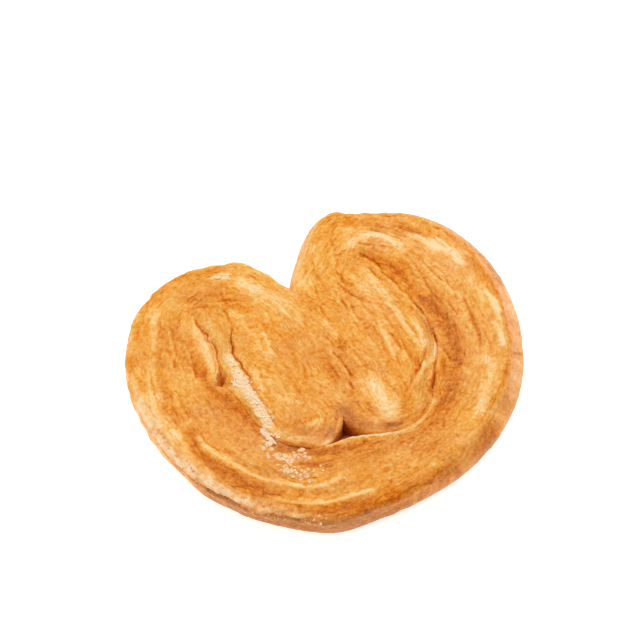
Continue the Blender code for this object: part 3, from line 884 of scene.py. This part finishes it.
# Where the crust turns from gold toward pink (over 0) or stays gold (under 0).
BLUSH = (
    (((-32.5, -2.0), (-29.1, -11.2), (-23.2, -17.5), (-14.2, -23.0)), 5.5, 0.16),
    (((29.9, 37.5), (37.2, 31.3), (42.4, 19.7)), 3.2, 0.22),
    (((38.2, 3.5), (32.2, -14.8)), 4.5, 0.12),
    (((-7.5, -20.1), (-1.2, -25.3), (5.8, -28.7)), 4.0, 0.06),
    (((-1.9, -12.7), (0.1, -16.2), (1.6, -19.5)), 2.5, 0.30),
    (((30.9, -21.2), (37.0, -26.9)), 3.0, 0.10),
    (((-42.1, 30.9), (-34.8, 39.0), (-24.8, 43.4), (-11.1, 43.0), (-3.8, 36.7)), 4.0, -0.18),
    (((9.9, 46.9), (11.4, 37.8), (5.9, 27.9), (6.2, 19.2)), 4.0, -0.15),
    (((-27.8, 35.7), (-15.7, 31.0), (-9.6, 25.2)), 6.0, -0.10),
    (((-19.5, 42.8), (-10.4, 37.6)), 5.0, -0.12),
    (((-25.8, 34.9), (-27.7, 27.1), (-29.1, 19.0)), 4.0, 0.14),
    (((46.6, 30.5), (49.1, 22.6), (50.2, 13.3)), 3.0, 0.14),
    (((22.7, -9.4), (21.8, -16.0), (19.0, -21.7)), 3.5, 0.12),
    (((-18.9, -29.5), (-14.0, -33.4), (-9.4, -35.9)), 3.0, 0.12),
    (((22.1, 7.9), (21.5, 1.3)), 4.0, -0.10),
    (((-37.1, -13.9), (-31.3, -20.6)), 3.0, -0.10),
)
rosy_side = np.interp(
    degrees, (-180, -150, -110, -60, -20, 20, 60, 110, 140, 165, 180),
    (0.9, 1.0, 1.0, 0.6, 0.2, 0.5, 1.0, 1.0, 0.8, 0.8, 0.9))
rosy_side = rosy_side * (1.0 - 0.55 * ramp(height, 4.5, 7.0) * ramp(degrees, 112.0, 130.0))
blush = 0.08 + 0.14 * lattice(plan_x / 9.0, plan_y / 9.0, 67)
blush = blush + 0.08 * lattice(plan_x / 3.0, plan_y / 3.0, 68)
for line, reach, share in BLUSH:
    blush = blush + share * painted(line, reach)
rosy = wall * rosy_side + (1.0 - wall) * (blush + 0.08 * bubbled + 0.45 * core)
rosy = rosy + 0.35 * rim * crumbling
rosy = np.clip(rosy + on_top * 0.15 * ramp(patch, 0.2, 0.7), 0.0, 1.0)

# Each point's place and the way its surface faces, over the whole strip.
BOX_MARGIN = 0.02
plan = [
    np.clip(
        outer[:, n:n + 1] + along[:, n:n + 1] * across + HEART_CENTRE[n],
        cad_box[0][n] / MM + BOX_MARGIN, cad_box[1][n] / MM - BOX_MARGIN)
    for n in (0, 1)
]
places = np.stack((*plan, height), axis=2)
round_ring = np.roll(places, -1, axis=1) - np.roll(places, 1, axis=1)
facing = np.cross(np.gradient(places, axis=0), round_ring)
facing = facing / np.maximum(1e-9, np.linalg.norm(facing, axis=2, keepdims=True))
across_flow = np.concatenate((layered, layered[:, -1:] + 1.0), axis=1)
FLOW_UNIT = 100.0
WELD = 1e-8


def coil(name, first, last):
    """The strip from one rib to another as a closed piece, with its flow UVs and tones."""
    rows = last - first
    grid = bmesh.new()
    bmesh.ops.create_grid(grid, x_segments=ring, y_segments=rows, size=0.5)
    mesh = bpy.data.meshes.new(name)
    grid.to_mesh(mesh)
    grid.free()
    flat_places = np.empty(len(mesh.vertices) * 3)
    mesh.vertices.foreach_get("co", flat_places)
    flat_places = flat_places.reshape(-1, 3)
    column = np.rint((flat_places[:, 0] + 0.5) * ring).astype(int)
    row = np.rint((flat_places[:, 1] + 0.5) * rows).astype(int) + first
    wrapped = column % ring
    mesh.vertices.foreach_set("co", (places[row, wrapped] * MM).ravel())
    for label, values in (("tone", tone), ("rosy", rosy), ("calm", calm)):
        layer = mesh.attributes.new(label, "FLOAT", "POINT")
        layer.data.foreach_set("value", values[row, wrapped])
    layer = mesh.attributes.new("facing", "FLOAT_VECTOR", "POINT")
    layer.data.foreach_set("vector", facing[row, wrapped].ravel())
    corners = np.empty(len(mesh.loops), int)
    mesh.loops.foreach_get("vertex_index", corners)
    flow = np.stack((strip_length[row, wrapped], across_flow[row, column]), axis=1) / FLOW_UNIT
    mesh.uv_layers.new(name="flow").data.foreach_set("uv", flow[corners].ravel())
    sewn = bmesh.new()
    sewn.from_mesh(mesh)
    bmesh.ops.remove_doubles(sewn, verts=sewn.verts, dist=WELD)
    bmesh.ops.holes_fill(sewn, edges=[e for e in sewn.edges if e.is_boundary], sides=0)
    bmesh.ops.recalc_face_normals(sewn, faces=sewn.faces)
    sewn.to_mesh(mesh)
    sewn.free()
    mesh.shade_smooth()
    kept = np.empty(len(mesh.vertices) * 3)
    mesh.attributes["facing"].data.foreach_get("vector", kept)
    mesh.normals_split_custom_set_from_vertices(kept.reshape(-1, 3).tolist())
    mesh.attributes.remove(mesh.attributes["facing"])
    piece = bpy.data.objects.new(name, mesh)
    bpy.context.scene.collection.objects.link(piece)
    return piece


PASSES = ("left_limb", "left_band", "right_band", "right_limb")
cuts = [round(n * (len(ribs) - 1) / len(PASSES)) for n in range(len(PASSES) + 1)]
coils = [coil(name, first, last) for name, first, last in zip(PASSES, cuts, cuts[1:])]


class Strand:
    """A shader socket that reads as a number or a colour in an expression."""

    def __init__(self, tree, socket=None):
        self.tree = tree
        self.socket = socket

    def node(self, kind, settings, inputs, output=0):
        """Add a node, set its settings and inputs, and return one of its outputs."""
        made = self.tree.nodes.new(kind)
        for name, value in settings.items():
            if name == "stops":
                while len(made.color_ramp.elements) < len(value):
                    made.color_ramp.elements.new(0.5)
                for element, (place, colour) in zip(made.color_ramp.elements, value):
                    element.position = place
                    element.color = (*colour, 1.0)
            else:
                setattr(made, name, value)
        for name, value in inputs.items():
            if isinstance(value, Strand):
                self.tree.links.new(value.socket, made.inputs[name])
            else:
                made.inputs[name].default_value = value
        return Strand(self.tree, made.outputs[output])

    def sum(self, operation, first, second):
        return self.node("ShaderNodeMath", {"operation": operation}, {0: first, 1: second})

    def __add__(self, other):
        return self.sum("ADD", self, other)

    __radd__ = __add__

    def __sub__(self, other):
        return self.sum("SUBTRACT", self, other)

    def __rsub__(self, other):
        return self.sum("SUBTRACT", other, self)

    def __mul__(self, other):
        return self.sum("MULTIPLY", self, other)

    __rmul__ = __mul__


def linear(red, green, blue):
    """A display colour, each part from 0 to 255, as the shader's linear light."""
    parts = (red / 255.0, green / 255.0, blue / 255.0)
    return tuple(((p + 0.055) / 1.055) ** 2.4 if p > 0.04045 else p / 12.92 for p in parts)


def new_material(name):
    """A material and the start of its expressions, with its shader."""
    material = bpy.data.materials.new(name)
    material.use_nodes = True
    shader = material.node_tree.nodes["Principled BSDF"]
    return material, Strand(material.node_tree), shader


def crust_material():
    material, start, shader = new_material("baked_crust")
    flow = start.node("ShaderNodeUVMap", {"uv_map": "flow"}, {})
    place = start.node("ShaderNodeTexCoord", {}, {}, "Object")
    tone, rosy, calm = [
        start.node("ShaderNodeAttribute", {"attribute_name": name}, {}, "Fac")
        for name in ("tone", "rosy", "calm")
    ]

    def stretched(along, across):
        """The flow UVs scaled by these along and across the strip."""
        return start.node("ShaderNodeMapping", {}, {"Vector": flow, "Scale": (along, across, 1.0)})

    def noise(vector, scale, detail, roughness=0.5, distortion=0.0, output=0):
        return start.node("ShaderNodeTexNoise", {}, {
            "Vector": vector, "Scale": scale, "Detail": detail, "Roughness": roughness,
            "Distortion": distortion}, output)

    streaks = stretched(13.0, 80.0)
    streak = noise(streaks, 1.0, 3.0, 0.6, 0.6)
    hair = noise(stretched(34.0, 215.0), 1.0, 3.0, 0.6, 0.4)
    speck = noise(place, 1150.0, 3.0, 0.7)
    blot = noise(place, 220.0, 3.0, 0.6)
    laminate = (1.0 - rosy * 0.8) * (1.0 - calm)
    wobble = noise(streaks, 3.0, 2.0, output="Color") * 10.0
    shaken = start.node("ShaderNodeMix", {"data_type": "VECTOR"}, {
        0: 0.12, 4: stretched(26.0, 105.0), 5: wobble}, 1)
    flake = start.node("ShaderNodeTexVoronoi", {}, {"Vector": shaken, "Scale": 1.0}, "Color")
    pit = noise(place, 620.0, 2.0, 0.5, 0.6)
    pit = start.node("ShaderNodeMapRange", {"interpolation_type": "SMOOTHSTEP"}, {
        0: pit, 1: 0.60, 2: 0.72, 3: 0.0, 4: 1.0})
    baked = tone + (streak - 0.5) * 0.17 * laminate + (hair - 0.5) * 0.80 * laminate
    baked = baked + (speck - 0.5) * 0.88 + (blot - 0.5) * 0.10 + (flake - 0.5) * 0.14 * laminate
    baked = baked + pit * 0.16
    golden = start.node("ShaderNodeValToRGB", {"stops": (
        (0.0, linear(255, 221, 166)), (0.15, linear(253, 206, 134)), (0.30, linear(249, 190, 102)),
        (0.44, linear(243, 172, 76)), (0.58, linear(237, 154, 51)), (0.72, linear(228, 134, 28)),
        (0.88, linear(211, 108, 5)), (1.0, linear(185, 86, 0)),
    )}, {"Fac": baked})
    pinkish = start.node("ShaderNodeValToRGB", {"stops": (
        (0.0, linear(255, 222, 182)), (0.35, linear(246, 181, 119)), (0.7, linear(220, 146, 82)),
        (1.0, linear(174, 110, 62)),
    )}, {"Fac": baked})
    colour = start.node("ShaderNodeMix", {"data_type": "RGBA"}, {
        0: rosy, 6: golden, 7: pinkish}, 2)
    rough = 0.56 - baked * 0.2 + (speck - 0.5) * 0.3
    ridged = streak * 0.4 + hair * 0.6 + speck * 0.7 + blot * 0.2 + flake * 0.15
    bump = start.node("ShaderNodeBump", {}, {
        "Strength": 0.8, "Distance": 0.00042, "Height": ridged})
    links = material.node_tree.links
    links.new(colour.socket, shader.inputs["Base Color"])
    links.new(rough.socket, shader.inputs["Roughness"])
    links.new(bump.socket, shader.inputs["Normal"])
    shader.inputs["Specular IOR Level"].default_value = 0.06
    shader.inputs["Subsurface Weight"].default_value = 0.08
    shader.inputs["Subsurface Radius"].default_value = (0.0014, 0.0007, 0.0003)
    shader.inputs["Coat Weight"].default_value = 0.06
    shader.inputs["Coat Roughness"].default_value = 0.18
    return material


crust_finish = crust_material()
for piece in coils:
    piece.data.materials.append(crust_finish)
    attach(piece, "root")
    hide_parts("pastry")

# ---------------------------------------------------------------------------------------------
# The dough at the bottom of the pocket, where the passes of the strip meet: a lumpy plug of
# the same dough, a darker red-brown than the crust.
# ---------------------------------------------------------------------------------------------
PLUG_PLACE = (-4.6, -23.2, 2.9)
PLUG_RADII = (8.4, 5.0, 2.7)
PLUG_FLOOR = 0.05
LUMP_HEIGHT, LUMPS_TO_RADIUS = 0.12, 4.0


def add_piece(name, shape, finish):
    """Turn a finished shape in millimetres into a piece of the pastry."""
    mesh = bpy.data.meshes.new(name)
    bmesh.ops.scale(shape, vec=(MM, MM, MM), verts=shape.verts)
    shape.to_mesh(mesh)
    shape.free()
    mesh.materials.append(finish)
    piece = bpy.data.objects.new(name, mesh)
    bpy.context.scene.collection.objects.link(piece)
    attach(piece, "root")
    return piece


def plain_material(name, colour, roughness, clearness):
    material, _, shader = new_material(name)
    shader.inputs["Base Color"].default_value = (*linear(*colour), 1.0)
    shader.inputs["Roughness"].default_value = roughness
    shader.inputs["Specular IOR Level"].default_value = 0.2
    shader.inputs["Subsurface Weight"].default_value = clearness
    shader.inputs["Subsurface Radius"].default_value = (0.0012, 0.0009, 0.0006)
    return material


plug = bmesh.new()
bmesh.ops.create_icosphere(plug, subdivisions=4, radius=1.0)
for vertex in plug.verts:
    x, y, z = np.array([[c * LUMPS_TO_RADIUS] for c in vertex.co])
    vertex.co *= 1.0 + LUMP_HEIGHT * float(lattice(x + z, y - z, 71)[0])
bmesh.ops.scale(plug, vec=PLUG_RADII, verts=plug.verts)
bmesh.ops.translate(plug, vec=PLUG_PLACE, verts=plug.verts)
for vertex in plug.verts:
    vertex.co.z = max(vertex.co.z, PLUG_FLOOR)
plug_finish = plain_material("inner_dough", (182, 100, 50), 0.7, 0.1)
plug_piece = add_piece("pocket_dough", plug, plug_finish)
plug_piece.data.shade_smooth()

# ---------------------------------------------------------------------------------------------
# The sugar: coarse crystals that never melted, in a strip beside the left fold and in patches
# below it. Each is a small cube dropped onto the crust.
# ---------------------------------------------------------------------------------------------
SUGAR = (
    (((-22.6, 8.6), (-22.3, 5.8), (-21.9, 2.5), (-21.6, -0.3)), 1.4, 230),
    (((-24.6, 6.3), (-23.8, 4.0)), 0.6, 30),
    (((-22.7, 13.5), (-22.4, 10.6)), 0.7, 26),
    (((-21.7, 0.1), (-21.1, -3.3), (-20.8, -6.8), (-20.7, -9.6)), 1.4, 110),
    (((-22.7, -10.5), (-22.1, -12.5), (-21.8, -14.6), (-23.0, -15.6)), 0.9, 150),
    (((-20.2, -13.2), (-19.6, -14.8)), 0.6, 16),
    (((-20.7, -20.5), (-19.5, -23.1)), 0.8, 14),
    (((-19.0, -24.0), (-19.5, -29.6)), 0.8, 8),
    (((-52.9, 5.5), (-52.8, -2.8), (-50.6, -11.5), (-46.9, -20.1)), 1.0, 40),
    (((-29.4, -19.3), (-19.4, -29.3), (-3.7, -31.9), (13.1, -31.5)), 5.0, 8),
)
CRYSTAL_LEAST, CRYSTAL_MOST = 0.26, 0.56
LOWEST_CRYSTAL = 7.6
DROP_HEIGHT = 20.0

crust_shape = bmesh.new()
for piece in coils:
    crust_shape.from_mesh(piece.data)
crust_tree = BVHTree.FromBMesh(crust_shape)
crust_shape.free()


def dropped(x, y):
    """Where a thing let fall over this plan point lands on the crust, in millimetres."""
    start = Vector((x + HEART_CENTRE[0], y + HEART_CENTRE[1], DROP_HEIGHT)) * MM
    spot, normal, _, _ = crust_tree.ray_cast(start, Vector((0.0, 0.0, -1.0)))
    return (spot / MM, normal) if spot else (None, None)


luck = np.random.RandomState(81)


def strewn(strokes):
    """Random plan points along each stroke: a line, the spread about it, and how many."""
    for line, reach, count in strokes:
        curve = matched(smooth_curve(line), 60)
        for _ in range(count):
            yield curve[luck.randint(len(curve))] + luck.normal(0.0, 0.5 * reach, 2)


def level_off(shape, top):
    for vertex in shape.verts:
        vertex.co.z = min(vertex.co.z, top)


sugar = bmesh.new()
for x, y in strewn(SUGAR):
    size = luck.uniform(CRYSTAL_LEAST, CRYSTAL_MOST)
    turn = luck.uniform(0.0, 6.3, 3)
    lift = luck.uniform(-0.1, 0.45) * size
    spot, _ = dropped(x, y)
    if spot is None or spot.z < LOWEST_CRYSTAL:
        continue
    place = Matrix.Translation(spot + Vector((0.0, 0.0, lift)))
    for axis, angle_about in zip("XYZ", turn):
        place = place @ Matrix.Rotation(angle_about, 4, axis)
    shrink = Matrix.Diagonal((1.0, luck.uniform(0.7, 1.0), luck.uniform(0.6, 1.0), 1.0))
    bmesh.ops.create_cube(sugar, size=size, matrix=place @ shrink)
level_off(sugar, TOP_LIMIT)
sugar_finish = plain_material("sugar", (255, 228, 194), 0.4, 0.4)
# Painted light: a faint warm glow stands in for light passing through the crystals and lifts them
# out of the shade among them.
glow = sugar_finish.node_tree.nodes["Principled BSDF"]
glow.inputs["Emission Color"].default_value = (*linear(255, 218, 180), 1.0)
glow.inputs["Emission Strength"].default_value = 0.045
add_piece("sugar_crystals", sugar, sugar_finish)

# ---------------------------------------------------------------------------------------------
# The half-melted sugar: low, clear lumps with blunt corners under the strip of crystals, each
# sunk into the crust and run into its neighbours.
# ---------------------------------------------------------------------------------------------
MELTED = (
    (((-25.1, -16.8), (-23.8, -18.4), (-22.4, -19.6)), 1.2, 12),
    (((-22.0, -19.8), (-19.6, -20.6), (-17.0, -21.2), (-14.8, -21.8)), 1.6, 26),
    (((-23.2, -22.6), (-21.4, -24.8), (-20.6, -25.6)), 1.5, 20),
    (((-19.4, -26.6), (-17.6, -28.4), (-15.8, -27.6)), 1.6, 26),
    (((-20.6, -21.5), (-19.6, -23.6), (-19.0, -25.4)), 1.6, 14),
    (((-23.6, -14.0), (-22.6, -16.6)), 0.8, 6),
)
LUMP_RISE = 0.2
melted = bmesh.new()
for x, y in strewn(MELTED):
    size = 0.3 + 0.5 * luck.uniform() ** 2
    spot, _ = dropped(x, y)
    made = bmesh.ops.create_icosphere(melted, subdivisions=2, radius=1.0)["verts"]
    turn = Matrix.Rotation(luck.uniform(0.0, 6.3), 3, "Z")
    for vertex in made:
        corner = turn @ (vertex.co * luck.uniform(0.8, 1.15))
        vertex.co = spot + Vector((corner.x * size, corner.y * size, corner.z * LUMP_RISE))
level_off(melted, TOP_LIMIT)
melted_finish = plain_material("melted_sugar", (250, 202, 150), 0.35, 0.3)
melted_piece = add_piece("melted_sugar", melted, melted_finish)
melted_piece.data.shade_smooth()

# ---------------------------------------------------------------------------------------------
# The loose flakes: thin leaves of crust that have lifted along the layers' edges.
# ---------------------------------------------------------------------------------------------
FLAKES = 200
FLAKE_SIZES = ((1.0, 4.0), (0.5, 1.2), (0.04, 0.14))
FLAKE_THICKNESS = 0.06
PLACED_FLAKES = ((-16.6, 38.8), (42.8, 25.6))
PLACED_SIZE = (2.2, 1.1, 0.25)
CREVICE_FROM, CREVICE_TO = (-29.0, 3.0), (-15.0, 33.0)
LEVEL_ENOUGH, WIDE_ENOUGH, HEADROOM = 0.6, 3.0, 0.25


def leaf_of_crust(shape, spot, run, up, length, breadth, curl):
    """A curved leaf with a torn edge, lying along the run with its far side lifted."""
    made = bmesh.ops.create_grid(shape, x_segments=6, y_segments=3, size=0.5)["verts"]
    side = up.cross(run)
    for vertex in made:
        u, v = vertex.co.x, vertex.co.y + 0.5
        torn = 1.0 - 3.2 * u * u + luck.uniform(-0.25, 0.25) * (v > 0.5)
        vertex.co = (spot + run * (u * length) + side * ((v - 0.4) * breadth * torn)
                     + up * (curl * v * v - 0.05))
    return made


def crust_layers(shape):
    """Give a shape what the crust's look reads, and return its tone and rosy layers."""
    layers = [shape.verts.layers.float.new(name) for name in ("tone", "rosy")]
    shape.loops.layers.uv.new("flow")
    return layers


flakes = bmesh.new()
flake_tone, flake_rosy = crust_layers(flakes)
top_columns = np.arange(EDGE_POINTS + 4, EDGE_POINTS + TOP_POINTS - 4)
for n in range(FLAKES):
    row, column = luck.randint(2, len(ribs) - 2), luck.choice(top_columns)
    run = Vector(places[row + 1, column] - places[row - 1, column]).normalized()
    up = Vector(facing[row, column])
    spot = Vector(places[row, column])
    at_crevice = (CREVICE_FROM[0] < plan_x[row, column] < CREVICE_TO[0]
                  and CREVICE_FROM[1] < plan_y[row, column] < CREVICE_TO[1])
    too_high = places[row, column, 2] > TOP_LIMIT - HEADROOM
    if up.z < LEVEL_ENOUGH or width[row, 0] < WIDE_ENOUGH or too_high:
        continue
    if at_crevice or calm[row, column] > 0.05:
        continue
    side_way = 1.0 if luck.uniform() < 0.5 else -1.0
    size = [luck.uniform(least, most) for least, most in FLAKE_SIZES]
    made = leaf_of_crust(flakes, spot, run * side_way, up, *size)
    for vertex in made:
        vertex[flake_tone] = tone[row, column] - 0.05
        vertex[flake_rosy] = rosy[row, column]
for x, y in PLACED_FLAKES:
    spot, normal = dropped(x, y)
    run = normal.cross(Vector((0.3, 1.0, 0.0))).normalized()
    leaf_of_crust(flakes, spot, run, normal, *PLACED_SIZE)
level_off(flakes, TOP_LIMIT - 0.05)
flake_piece = add_piece("loose_flakes", flakes, crust_finish)
skin = flake_piece.modifiers.new("thickness", "SOLIDIFY")
skin.thickness = FLAKE_THICKNESS * MM
skin.offset = 0.0

# ---------------------------------------------------------------------------------------------
# The crumbs: broken bits of crust held in the crumbling lip of the lower left side.
# ---------------------------------------------------------------------------------------------
CRUMBS = 240
CRUMB_MARGIN = 0.05
lip_rows = np.flatnonzero(free[:, 0] & (crumbling[:, 0] > 0.7))
first_rim = EDGE_POINTS - RIM_POINTS - 2
crumb_shape = bmesh.new()
crumb_tone, crumb_rosy = crust_layers(crumb_shape)
for n in range(CRUMBS):
    row = luck.choice(lip_rows)
    column = luck.randint(first_rim, first_rim + RIM_POINTS + 3)
    size = 0.12 + 0.3 * luck.uniform() ** 2
    spot = Vector(places[row, column]) + Vector(facing[row, column]) * (0.2 * size)
    made = bmesh.ops.create_icosphere(crumb_shape, subdivisions=1, radius=size)["verts"]
    squash = Vector((luck.uniform(0.7, 1.4), luck.uniform(0.7, 1.2), luck.uniform(0.5, 0.9)))
    browned = luck.uniform(0.05, 0.5)
    for vertex in made:
        vertex[crumb_tone], vertex[crumb_rosy] = browned, 0.4
        vertex.co = spot + vertex.co * squash * luck.uniform(0.7, 1.2)
low, high = [Vector(corner) / MM for corner in cad_box]
for vertex in crumb_shape.verts:
    vertex.co = [
        min(max(c, a + BOX_MARGIN), b - CRUMB_MARGIN) for c, a, b in zip(vertex.co, low, high)
    ]
crumb_piece = add_piece("crumbs", crumb_shape, crust_finish)
crumb_piece.data.shade_smooth()

# ---------------------------------------------------------------------------------------------
# The stand: a plain white table, soft light from above and behind, and the camera.
# ---------------------------------------------------------------------------------------------
FLOOR_SIDE = 6.0
WHITE = (1.0, 1.0, 1.0, 1.0)
floor_mesh = bmesh.new()
bmesh.ops.create_grid(floor_mesh, x_segments=1, y_segments=1, size=FLOOR_SIDE / 2)
floor_data = bpy.data.meshes.new("floor")
floor_mesh.to_mesh(floor_data)
floor_mesh.free()
floor = bpy.data.objects.new("floor", floor_data)
bpy.context.scene.collection.objects.link(floor)
floor_paint, _, floor_shader = new_material("white_table")
floor_shader.inputs["Base Color"].default_value = (0.85, 0.85, 0.85, 1.0)
floor_shader.inputs["Roughness"].default_value = 0.9
floor_shader.inputs["Emission Color"].default_value = WHITE
floor_shader.inputs["Emission Strength"].default_value = 0.68
floor.data.materials.append(floor_paint)


def soft_light(name, place, size, power):
    """A round light that points at the middle of the table."""
    data = bpy.data.lights.new(name, "AREA")
    data.shape = "DISK"
    data.size = size
    data.energy = power
    lamp = bpy.data.objects.new(name, data)
    lamp.location = place
    lamp.rotation_euler = (-Vector(place)).to_track_quat("-Z", "Y").to_euler()
    bpy.context.scene.collection.objects.link(lamp)


soft_light("overhead", (0.10, 0.30, 0.9), 0.5, 4.2)
soft_light("side", (0.75, 0.20, 0.45), 0.4, 1.5)
soft_light("fill", (-0.72, -0.15, 0.42), 0.4, 1.25)

world = bpy.data.worlds.new("studio")
world.use_nodes = True
sky = world.node_tree.nodes["Background"]
sky.inputs["Color"].default_value = WHITE
sky.inputs["Strength"].default_value = 0.46
bpy.context.scene.world = world
bpy.context.scene.view_settings.view_transform = "Standard"

VIEW_AZIMUTH = math.radians(-21.0)
VIEW_ELEVATION = math.radians(54.0)
FRAME_WIDTH = 0.1658
LENS, SENSOR = 300.0, 36.0
LOOKED_AT = Vector((0.0, 0.0, 0.005))
FRAME_SHIFT = Vector((-0.0033, 0.0131, 0.0))
camera_data = bpy.data.cameras.new("camera")
camera_data.lens = LENS
camera_data.sensor_width = SENSOR
camera = bpy.data.objects.new("camera", camera_data)
bpy.context.scene.collection.objects.link(camera)
sight = Vector((
    -math.sin(VIEW_AZIMUTH) * math.cos(VIEW_ELEVATION),
    math.cos(VIEW_AZIMUTH) * math.cos(VIEW_ELEVATION),
    -math.sin(VIEW_ELEVATION),
))
turned = sight.to_track_quat("-Z", "Y")
aim = LOOKED_AT + turned @ FRAME_SHIFT
camera.location = aim - sight * (LENS / SENSOR * FRAME_WIDTH)
camera.rotation_euler = turned.to_euler()
camera_data.clip_start = 0.01
bpy.context.scene.camera = camera
